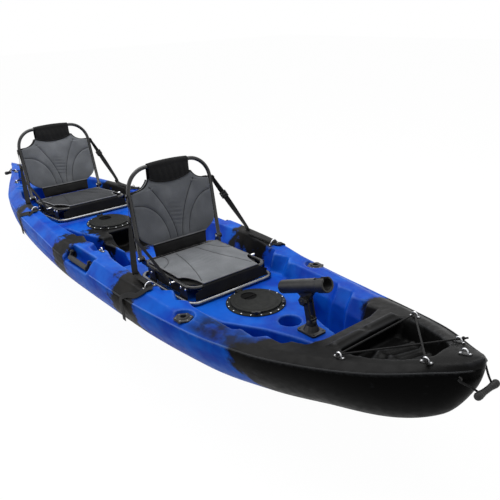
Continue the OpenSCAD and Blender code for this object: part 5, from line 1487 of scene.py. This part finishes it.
rows_of_sling = []
for x in np.linspace(REAR_BAR + 0.0105, FRONT_BAR - 0.016, 40):
    past_corner = CORNER - min(x - REAR_BAR - 0.009, CORNER)
    half = BASE_HALF - 0.0105 - (CORNER - math.sqrt(CORNER**2 - past_corner**2))
    half -= 0.036 * eased((x - (FRONT_BAR - 0.070)) / 0.050)
    low = SAG * math.sin(math.pi * (x - REAR_BAR) / (FRONT_BAR - REAR_BAR))
    rows_of_sling.append((x, BASE_Z - low, half))
for a in np.radians(np.linspace(150, 0, 12)):
    rows_of_sling.append((FRONT_BAR + WRAP * math.cos(a), BASE_Z + WRAP * math.sin(a), NARROW_HALF))
apron_from = len(rows_of_sling) - 1
for q in np.linspace(0, 1, 16)[1:]:
    rows_of_sling.append((FRONT_BAR + WRAP - 0.0015 * q, BASE_Z - APRON_DROP * q,
                          NARROW_HALF + APRON_FLARE * eased(q / 0.32)))
share = np.linspace(1, -1, 56)
sling_grid = []
for number, (x, z, half) in enumerate(rows_of_sling):
    hanging = np.clip((BASE_Z - z - 0.006) / 0.04, 0, 1) * (number >= apron_from)
    ripple = 0.0012 * np.sin(share * half * 66) * hanging
    sling_grid.append(np.stack([x + ripple, share * half, np.full_like(share, z)], axis=-1))
sling_grid = np.array(sling_grid)
sling = sheet_from("sling", sling_grid, black_weave, CLOTH_THICKNESS)
for end, made in for_both_seats("sling_cloth", sling).items():
    stand_for(made, end + "_sling")

# %% Painted shade skirts under the side tubes
SHADE_SKIRT_TOP, SHADE_SKIRT_DROP = 0.0100, 0.036
shade_skirt_x = np.linspace(REAR_BAR + 0.040, FRONT_BAR - 0.040, 40)
for side, word in SIDES:
    shade_skirt_grid = np.array([[(x, side * (BASE_HALF + 0.0006 + 0.0012 * math.sin(x * 70) * q),
                             BASE_Z - SHADE_SKIRT_TOP - SHADE_SKIRT_DROP * q) for x in shade_skirt_x[::side]]
                           for q in np.linspace(0, 1, 9)])
    # A black sheet hung as painted shade under the seat's side tube.
    skirt = sheet_from("skirt", shade_skirt_grid, black_weave, CLOTH_THICKNESS)
    for end, made in for_both_seats("skirt_" + word, skirt).items():
        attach(made, "hull")

# %% [markdown]
# ## Straps and buckles
# A tie strap runs from a tab on the backrest through a buckle, drops to the deck, lies along it to a wide pad
# eye, turns there and ends as a loose tail over the gunwale. A shorter limit strap goes from the backrest to
# the bolt at the starboard side of the seat. Webbing is a flat section swept along a route, with a direction
# across it at each point. The backrest turns under these straps, but each strap here is one fixed piece.

# %% Route of a tie strap
WEB_WIDTH, WEB_THICKNESS = 0.025, 0.0016
SLACK = {1: 0.178, -1: 0.110}  # more webbing was left loose on the port side
SLACK_DRIFT = 1 / 15  # sideways for each metre along the deck
LIE_UP, STRAP_EYE_UP, TAIL_UP = 0.009, 0.0070, 0.0065
TAB = Vector((SEAT_X - 0.43675, 0.2295, FLOOR_Z + 0.36182))
EYES = {"front": (0.604, 0.333), "rear": (-0.641, 0.302)}


def at_end(end, point):
    """A point of the front seat, or its twin on the rear seat."""
    return Vector(point) if end == "front" else TO_REAR_SEAT @ Vector(point)


def on_deck(x, y, up):
    return Vector((x, y, deck_height(x, y) + up))


def webbing(name, route, across, width, thickness):
    return swept(name, tube_rings(route, 0, 16, width, thickness, across), ribbed_webbing)


def tie_strap(end, side):
    """One tie strap with its tail, its length, where it leaves the deck, and the tab on the backrest."""
    tab = at_end(end, TAB)
    slack_run = SLACK[side]
    ex, ey = EYES[end]

    def slack(back, up):
        return on_deck(ex - back, ey - back * SLACK_DRIFT, up)

    low = slack(slack_run - 0.034, LIE_UP)
    ring = on_deck(ex + 0.007, ey, STRAP_EYE_UP)
    gx = ex - 0.070
    half, edge = gunwale(gx)
    stops = [(tab, (0.3, 0, 0.95)), (tab + Vector((0.014, 0.002, -0.012)), (0.4, 0, 0.9)),
             (slack(slack_run + 0.012, 0.044), (-0.3, 0.9, -0.05)),
             (slack(slack_run - 0.004, 0.017), (-0.1, 1, 0)),
             (low, (0, 1, 0)), (slack(0.060, LIE_UP), (0, 1, 0)),
             (on_deck(ex - 0.006, ey, STRAP_EYE_UP + 0.005), (0, 1, 0)), (ring, (0, 1, 0))]
    tail = [(ring, (0, -1, 0)), (on_deck(ex + 0.020, ey + 0.010, TAIL_UP), (0.5, -1, 0)),
            (on_deck(ex + 0.020, ey + 0.025, TAIL_UP), (0.8, -0.5, 0)),
            (on_deck(ex + 0.020, ey + 0.040, TAIL_UP), (1, -0.1, 0)),
            (on_deck(ex - 0.004, half - 0.024, TAIL_UP), (0.8, 0.6, -0.6)),
            (on_deck(ex - 0.040, half - 0.014, TAIL_UP), (0.5, 0.8, -0.8)),
            (Vector((gx, half + 0.0025, edge + 0.006)), (1, 0.4, -0.5)),
            (Vector((gx - 0.006, half + 0.0055, edge - 0.012)), (1, 0, 0)),
            (Vector((gx - 0.008, half + 0.002, edge - 0.045)), (1, 0, 0)),
            (Vector((gx - 0.009, half - 0.001, edge - 0.080)), (1, 0, 0)),
            (Vector((gx - 0.010, half - 0.003, edge - 0.105)), (1, 0, 0))]
    pieces = []
    run = 0.0
    flip = Vector((1, side, 1))
    for word, points in (("strap", stops), ("tail", tail)):
        route = rounded([p * flip for p, _ in points], 10)
        across = rounded([Vector(w) * flip for _, w in points], 10)
        run += route_length(route)
        pieces.append(webbing("web_" + word, route, across, WEB_WIDTH, WEB_THICKNESS))
    strap = merged("%s_tie_%s" % (end, dict(SIDES)[side]), pieces, ribbed_webbing)
    return strap, run, low, tab


def bends_with(made):
    """Bakes the piece's placement into its points."""
    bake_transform(made)


# %% Tie straps, limit straps and buckles
LIMIT_WIDTH, LIMIT_BOW, LIMIT_POINTS = 0.020, 0.006, 30
LIMIT_Y = -(SEAT_HALF + TUBE + 0.0020)
LIMIT_TOP = (SEAT_X - 0.4057, LIMIT_Y, FLOOR_Z + 0.1855)
LIMIT_BOLT = (SEAT_X - 0.131, LIMIT_Y, FLOOR_Z + 0.060)
for end in ("front", "rear"):
    for side in (1, -1):
        strap, run, low, tab = tie_strap(end, side)
        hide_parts(end + "_tie_straps")
        bends_with(strap)
    top, bolt = at_end(end, LIMIT_TOP), at_end(end, LIMIT_BOLT)
    fall = (bolt - top).normalized()
    across = [Vector((-fall.z, 0, fall.x))] * LIMIT_POINTS
    route = [top + (bolt - top) * q + Vector((0, 0, LIMIT_BOW * math.sin(math.pi * q)))
             for q in np.linspace(0, 1, LIMIT_POINTS)]
    limit = webbing(end + "_limit_webbing", route, across, LIMIT_WIDTH, 2 * WEB_THICKNESS)
    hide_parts(end + "_limit_straps")
    bends_with(limit)
    buckle = bevelled_copy(end + "_buckles", 0.0006, black_plastic)
    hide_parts(end + "_buckles")
    bends_with(buckle)
    print(end, "tie strap:", round(run, 3), "m, limit strap:", round((bolt - top).length, 3), "m")
